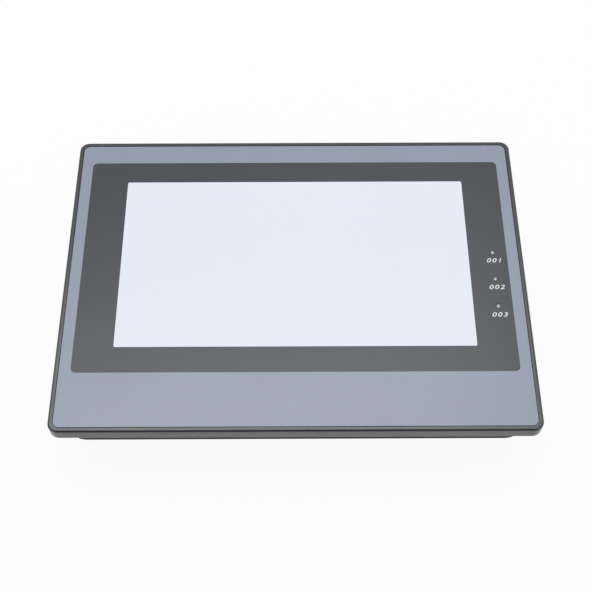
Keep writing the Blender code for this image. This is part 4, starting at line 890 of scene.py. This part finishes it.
class TOUCHPANEL_OT_screws(bpy.types.Operator):
    """Model the pan-head screws of the housing, the chassis plate and the board"""

    bl_idname = "touchpanel.screws"
    bl_label = "Screws"

    def execute(self, context):
        stems = {"housing_screw": 1.3 * MM, "chassis_screw": 1.0 * MM, "board_screw": 1.0 * MM}
        for kind, stem in stems.items():
            for k in CORNERS:
                self.screw(f"{kind}_{k}", stem)
        return {"FINISHED"}

    def screw(self, node, stem):
        """One screw with its domed head, its cross slot and a shank of one radius."""
        low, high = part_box(node)
        at = middle_of(node)
        head_deep, crown, under_edge, overlap = 1.9 * MM, 0.8 * MM, 0.1 * MM, 0.2 * MM
        wide, long, deep, slot_edge = 0.4 * MM, 1.5 * MM, 0.9 * MM, 0.06 * MM
        head_high = low.z + head_deep
        radius = (high.x - low.x) / 2
        head = upright(node + "_turned", at, low.z, head_high, radius)
        round_edges(head, crown, 4, at_level(Z, low.z))
        round_edges(head, under_edge, 1, at_level(Z, head_high))
        shank = upright("shank", at, head_high - overlap, high.z, stem, PIN_SIDES)
        round_edges(shank, 0.4 * stem, 2, at_level(Z, high.z))
        combine(head, [shank], "UNION")
        for reach in ((wide, long), (long, wide)):
            slot = block("slot", (at.x - reach[0], at.y - reach[1], low.z - THROUGH),
                         (at.x + reach[0], at.y + reach[1], low.z + deep))
            combine(head, [slot])
        seat(soften(head, slot_edge, 1), zinc_plated_steel, (node,))


class TOUCHPANEL_OT_display(bpy.types.Operator):
    """Finish the touch panel, its tape, the screen module and the chassis plate that clamps it"""

    bl_idname = "touchpanel.display"
    bl_label = "Screen and chassis"

    def execute(self, context):
        edge = context.scene.touch_panel.sizes.pressed_edge
        dress_copy("touch_panel", chemically_strengthened_glass, edge)
        dress_copy("lcd_frame", galvanised_sheet, edge)
        dress_copy("chassis_plate", galvanised_sheet, edge)
        keep("touch_tape", foam_tape)
        keep("lcd_cell", chemically_strengthened_glass)
        keep("backlight", white_light_guide)
        return {"FINISHED"}


class TOUCHPANEL_OT_electronics(bpy.types.Operator):
    """Finish the boards, what stands on them and the flat cables between them"""

    bl_idname = "touchpanel.electronics"
    bl_label = "Boards and cables"

    def execute(self, context):
        edge = context.scene.touch_panel.sizes.pressed_edge
        finishes = {
            "main_board": solder_mask_board, "lamp_board": solder_mask_board,
            "processor": epoxy_black, "memory_chip": epoxy_black, "buzzer": epoxy_black,
            "cell_holder": black_pbt, "coin_cell": nickel_plated_brass,
            "heat_sink": extruded_aluminium, "capacitor": extruded_aluminium,
        }
        for node, make in finishes.items():
            dress_copy(node, make, edge)
        for node in ("lamp_ribbon", "lcd_ribbon", "touch_ribbon"):
            dress_copy(node, polyimide_film, 0.05 * MM, steps=1)
        return {"FINISHED"}


class TOUCHPANEL_OT_power_terminal(bpy.types.Operator):
    """Finish the power socket, its plug, and the plug's screws and wire clamps"""

    bl_idname = "touchpanel.power_terminal"
    bl_label = "Power terminal"

    def execute(self, context):
        edge = context.scene.touch_panel.sizes.pressed_edge
        dress_copy("power_socket", green_polyamide, edge)
        dress_copy("power_plug", green_polyamide, edge, body="power_plug")
        for k in POLES:
            screw, clamp = f"terminal_screw_{k}", f"wire_clamp_{k}"
            dress_copy(screw, zinc_plated_steel, 0.1 * MM, body=screw)
            dress_copy(clamp, nickel_plated_brass, 0.08 * MM, body=clamp)
        return {"FINISHED"}


class TOUCHPANEL_OT_serial_port(bpy.types.Operator):
    """Finish the nine-pin serial port, and model its insulator and gold pins"""

    bl_idname = "touchpanel.serial_port"
    bl_label = "Serial port"

    def execute(self, context):
        edge = context.scene.touch_panel.sizes.pressed_edge
        dress_copy("serial_port", nickel_plated_brass, edge)
        for k in JACKS:
            dress_copy(f"jack_screw_{k}", nickel_plated_brass, edge)
        middle = (middle_of("jack_screw_1") + middle_of("jack_screw_2")) / 2
        pitch, row, pin_radius, pin_round = 2.77 * MM, 1.42 * MM, 0.53 * MM, 0.3 * MM
        tip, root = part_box("serial_port")[0].y + 0.9 * MM, -50.0 * MM
        pins = []
        for count, z in ((5, middle.z + row), (4, middle.z - row)):
            for k in range(count):
                x = middle.x + (k - (count - 1) / 2) * pitch
                pin = rod("pin", (x, tip, z), (x, root, z), pin_radius, PIN_SIDES)
                round_edges(pin, pin_round, 3, at_level(Y, tip))
                pins.append(pin)
        seat(join("serial_pins", pins), gold_plated_contact)
        half, tall, taper, corner = 7.7 * MM, 3.4 * MM, 1.2 * MM, 1.2 * MM
        near, far = -50.5 * MM, -50.12 * MM
        insert = block("serial_insulator", (middle.x - half, near, middle.z - tall),
                       (middle.x + half, far, middle.z + tall))
        open_mesh(insert, "EDGE", at_level(Z, middle.z - tall))
        bpy.ops.transform.resize(value=(1 - taper / half, 1, 1), center_override=middle)
        rest()
        round_edges(insert, corner, 4,
                    lambda edge: abs(edge.verts[0].co.y - edge.verts[1].co.y) > SEAT_GAP)
        seat(insert, black_pbt)
        return {"FINISHED"}


class TOUCHPANEL_OT_network_jack(bpy.types.Operator):
    """Finish the network jack, and model its liner, its eight contacts and its two link lamps"""

    bl_idname = "touchpanel.network_jack"
    bl_label = "Network jack"

    def execute(self, context):
        edge = context.scene.touch_panel.sizes.pressed_edge
        dress_copy("ethernet_jack", nickel_plated_brass, edge)
        middle, face = middle_of("ethernet_jack").x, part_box("ethernet_jack")[0].y
        self.liner(middle, face)
        self.contacts(middle, face)
        self.link_lamps(middle, face)
        return {"FINISHED"}

    def liner(self, middle, face):
        """The black liner of the plug's way and of its latch."""
        skin, gap, liner_edge = 0.25 * MM, 0.03 * MM, 0.06 * MM
        half, latch_half = 5.95 * MM, 3.1 * MM
        floor, roof, latch_floor = 6.1 * MM, JACK_ROOF, 3.9 * MM
        end, latch_end = face + 14 * MM, face + 11 * MM
        near = face + 0.05 * MM
        liner = block("jack_liner", (middle - half + gap, near, floor + gap),
                      (middle + half - gap, end - gap, roof - gap))
        combine(liner, [block("latch_liner", (middle - latch_half + gap, near, latch_floor + gap),
                              (middle + latch_half - gap, latch_end - gap, floor + skin / 2))], "UNION")
        combine(liner, [
            block("liner_hollow", (middle - half + skin, face - THROUGH, floor + skin),
                  (middle + half - skin, end - skin, roof - skin)),
            block("latch_hollow", (middle - latch_half + skin, face - THROUGH, latch_floor + skin),
                  (middle + latch_half - skin, latch_end - skin, floor + 2 * THROUGH)),
        ])
        seat(soften(liner, liner_edge, 1), black_pbt)

    def contacts(self, middle, face):
        """Eight spring contacts that slope down from the roof."""
        half, pitch, drop, wire_edge = 0.23 * MM, 1.02 * MM, 1.9 * MM, 0.1 * MM
        near, far = face + 2.5 * MM, face + 10.5 * MM
        low, high = JACK_ROOF - 0.9 * MM, JACK_ROOF - 0.6 * MM
        contact = block("contact", (middle - half, near, low), (middle + half, far, high))
        open_mesh(contact, "EDGE", at_level(Y, far))
        bpy.ops.transform.translate(value=(0, 0, -drop))
        rest()
        round_edges(contact, wire_edge, 2, along(X))
        seat(copies(contact, "jack_contacts", row_of(8, pitch)), gold_plated_contact)

    def link_lamps(self, middle, face):
        """The two small windows beside the latch."""
        aside, half, low, high = 5.6 * MM, 1.3 * MM, 3.2 * MM, 5.0 * MM
        proud, sunk, corner, lens_edge = 0.12 * MM, 0.5 * MM, 0.3 * MM, 0.1 * MM
        lamps = []
        for x in (middle - aside, middle + aside):
            lamp = slab("lamp", (x - half, face - proud, low), (x + half, face + sunk, high), corner, Y)
            round_edges(lamp, lens_edge, 2, at_level(Y, face - proud))
            lamps.append(lamp)
        seat(join("link_lamps", lamps), tinted_indicator)


class TOUCHPANEL_OT_usb_ports(bpy.types.Operator):
    """Finish both USB ports, and model their tongues and gold contacts"""

    bl_idname = "touchpanel.usb_ports"
    bl_label = "USB ports"

    def execute(self, context):
        self.port("usb_host_port", white_acetal, 4.9 * MM, (12.3 * MM, 14.4 * MM), (0.95 * MM, 11.0 * MM),
                  4, 2.2 * MM)
        self.port("usb_device_port", black_pbt, 2.6 * MM, (13.72 * MM, 14.68 * MM), (0.55 * MM, 6.5 * MM),
                  5, 0.8 * MM)
        return {"FINISHED"}

    def port(self, node, make, half, levels, depths, count, pitch):
        """One port, with a tongue between two levels and two depths and its contacts on the underside."""
        shell_edge, tongue_edge, contact_edge = 0.1 * MM, 0.15 * MM, 0.05 * MM
        proud, sunk, set_back, reach = 0.08 * MM, 0.05 * MM, 0.5 * MM, 0.65
        dress_copy(node, nickel_plated_brass, shell_edge)
        middle, face = middle_of(node).x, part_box(node)[0].y
        under, over = levels
        near, far = face + depths[0], face + depths[1]
        tongue = block(node + "_tongue", (middle - half, near, under), (middle + half, far, over))
        round_edges(tongue, tongue_edge, 2, at_level(Y, near))
        seat(tongue, make)
        contact = block("contact", (middle - pitch / 4, near + set_back, under - proud),
                        (middle + pitch / 4, near + reach * depths[1], under + sunk))
        round_edges(contact, contact_edge, 1, at_level(Z, under - proud))
        seat(copies(contact, node + "_contacts", row_of(count, pitch)), gold_plated_contact)


class TOUCHPANEL_OT_switches(bpy.types.Operator):
    """Finish the DIP switch and the reset button, and print the four ways' numbers"""

    bl_idname = "touchpanel.switches"
    bl_label = "Switches"

    def execute(self, context):
        dip_edge, switch_edge, button_edge = 0.12 * MM, 0.1 * MM, 0.15 * MM
        number_height, number_below = 1.1 * MM, 1.15 * MM
        dress_copy("dip_body", red_pbt, dip_edge)
        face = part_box("dip_body")[0].y
        for k in SLIDERS:
            slider = f"dip_slider_{k}"
            dress_copy(slider, white_acetal, dip_edge, body=slider)
            middle = (middle_of(slider).x, face - INK / 2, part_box(slider)[0].z - number_below)
            seat(number(f"way_number_{k}", str(k), middle, number_height, facing=Y), white_ink)
        dress_copy("reset_switch", black_pbt, switch_edge)
        dress_copy("reset_button", white_acetal, button_edge, body="reset_button")
        return {"FINISHED"}


class TOUCHPANEL_OT_studio(bpy.types.Operator):
    """Set up the pale floor, the soft light and the camera at the photograph's angle"""

    bl_idname = "touchpanel.studio"
    bl_label = "Studio"

    def execute(self, context):
        studio = context.scene.touch_panel.studio
        context.scene.view_settings.view_transform = "Standard"
        self.floor()
        self.world(studio)
        self.key_light(studio)
        self.flag()
        self.camera(studio)
        return {"FINISHED"}

    def camera(self, studio):
        """The camera at the photograph's place and angle."""
        rest()
        bpy.ops.object.camera_add(location=CAMERA_PLACE)
        camera = bpy.context.object
        camera.name = "photo_camera"
        turn = (Matrix.Rotation(CAMERA_PAN, 4, "Y") @ Matrix.Rotation(CAMERA_TILT, 4, "X")
                @ Matrix.Rotation(CAMERA_ROLL, 4, "Z"))
        camera.rotation_euler = turn.to_euler()
        camera.data.lens = studio.lens
        camera.data.sensor_width = SENSOR_WIDTH
        camera.data.clip_start = CLIP_START
        bpy.context.scene.camera = camera

    def seen(self, tree):
        """How much a ray comes from the camera, a reflection or clear plastic, as a factor."""
        path = add_node(tree, "ShaderNodeLightPath")
        mirrored = add_node(tree, "ShaderNodeMath", {0: path.outputs["Is Camera Ray"],
                                                     1: path.outputs["Is Glossy Ray"]}, operation="MAXIMUM")
        return add_node(tree, "ShaderNodeMath", {0: mirrored.outputs[0],
                                                 1: path.outputs["Is Transmission Ray"]},
                        operation="MAXIMUM").outputs[0]

    def floor(self):
        """White paper that keeps the panel's shadow."""
        rest()
        bpy.ops.mesh.primitive_plane_add(size=FLOOR_SIZE, location=(0, 0, FLOOR_LEVEL))
        floor = placed(bpy.context.object, "studio_floor")
        material = bpy.data.materials.new("white_studio_paper")
        material.use_nodes = True
        tree = material.node_tree
        paper = tree.nodes["Principled BSDF"]
        paper.inputs["Base Color"].default_value = (*linear("F8F8F8"), 1)
        paper.inputs["Roughness"].default_value = 0.9
        glow = add_node(tree, "ShaderNodeEmission", {"Strength": 1.0})
        share = add_node(tree, "ShaderNodeMath", {0: self.seen(tree), 1: FLOOR_WHITE}, operation="MULTIPLY")
        mixed = add_node(tree, "ShaderNodeMixShader", {0: share.outputs[0], 1: paper.outputs[0],
                                                       2: glow.outputs[0]})
        tree.links.new(mixed.outputs[0], tree.nodes["Material Output"].inputs["Surface"])
        floor.data.materials.append(material)

    def flag(self):
        """A dark cloth in front of the set, seen only in reflections, which keeps the front round dark."""
        rest()
        bpy.ops.mesh.primitive_plane_add(size=FLAG_SIZE, location=FLAG_PLACE, rotation=UPRIGHT)
        flag = placed(bpy.context.object, "dark_flag")
        material = bpy.data.materials.new("dark_flag_cloth")
        material.use_nodes = True
        cloth = material.node_tree.nodes["Principled BSDF"]
        cloth.inputs["Base Color"].default_value = (*linear("3A3A3A"), 1)
        cloth.inputs["Roughness"].default_value = 0.95
        flag.data.materials.append(material)
        flag.visible_camera = False
        flag.visible_diffuse = False

    def world(self, studio):
        """Even light all round, with a whiter backdrop for the camera and reflections."""
        world = bpy.data.worlds.new("studio_world")
        bpy.context.scene.world = world
        world.use_nodes = True
        tree = world.node_tree
        even = tree.nodes["Background"]
        even.inputs["Color"].default_value = (1, 1, 1, 1)
        even.inputs["Strength"].default_value = studio.world_level
        white = add_node(tree, "ShaderNodeBackground", {"Color": (1, 1, 1, 1), "Strength": BACKDROP_WHITE})
        mixed = add_node(tree, "ShaderNodeMixShader", {0: self.seen(tree), 1: even.outputs[0],
                                                       2: white.outputs[0]})
        tree.links.new(mixed.outputs[0], tree.nodes["World Output"].inputs["Surface"])

    def key_light(self, studio):
        """One softbox overhead, turned to the panel."""
        rest()
        bpy.ops.object.light_add(type="AREA", location=KEY_PLACE)
        light = bpy.context.object
        light.name = "key_softbox"
        light.rotation_euler = (-KEY_PLACE).to_track_quat("-Z", "Y").to_euler()
        light.data.shape = "RECTANGLE"
        light.data.size, light.data.size_y = KEY_SIZE
        light.data.energy = studio.key_power


STEPS = (
    TOUCHPANEL_OT_bezel, TOUCHPANEL_OT_film, TOUCHPANEL_OT_lamps, TOUCHPANEL_OT_seal, TOUCHPANEL_OT_housing,
    TOUCHPANEL_OT_screws, TOUCHPANEL_OT_display, TOUCHPANEL_OT_electronics, TOUCHPANEL_OT_power_terminal,
    TOUCHPANEL_OT_serial_port, TOUCHPANEL_OT_network_jack, TOUCHPANEL_OT_usb_ports, TOUCHPANEL_OT_switches,
    TOUCHPANEL_OT_studio,
)


class TOUCHPANEL_PT_sidebar(bpy.types.Panel):
    """Lists the steps that model the touch panel"""

    bl_idname = "TOUCHPANEL_PT_sidebar"
    bl_label = "Touch panel"
    bl_space_type = "VIEW_3D"
    bl_region_type = "UI"
    bl_category = "Touch panel"

    def draw(self, context):
        settings = context.scene.touch_panel
        for step in STEPS:
            self.layout.operator(step.bl_idname)
        for group in (settings.sizes, settings.colours, settings.studio):
            box = self.layout.box()
            for name in group.__annotations__:
                box.prop(group, name)


CLASSES = (TouchPanelSizes, TouchPanelColours, TouchPanelStudio, TouchPanelSettings, *STEPS,
           TOUCHPANEL_PT_sidebar)


def register():
    for cls in CLASSES:
        bpy.utils.register_class(cls)
    bpy.types.Scene.touch_panel = PointerProperty(type=TouchPanelSettings)


def unregister():
    del bpy.types.Scene.touch_panel
    for cls in reversed(CLASSES):
        bpy.utils.unregister_class(cls)


def main():
    register()
    for step in STEPS:
        group, name = step.bl_idname.split(".")
        getattr(getattr(bpy.ops, group), name)()


if __name__ == "__main__":
    main()
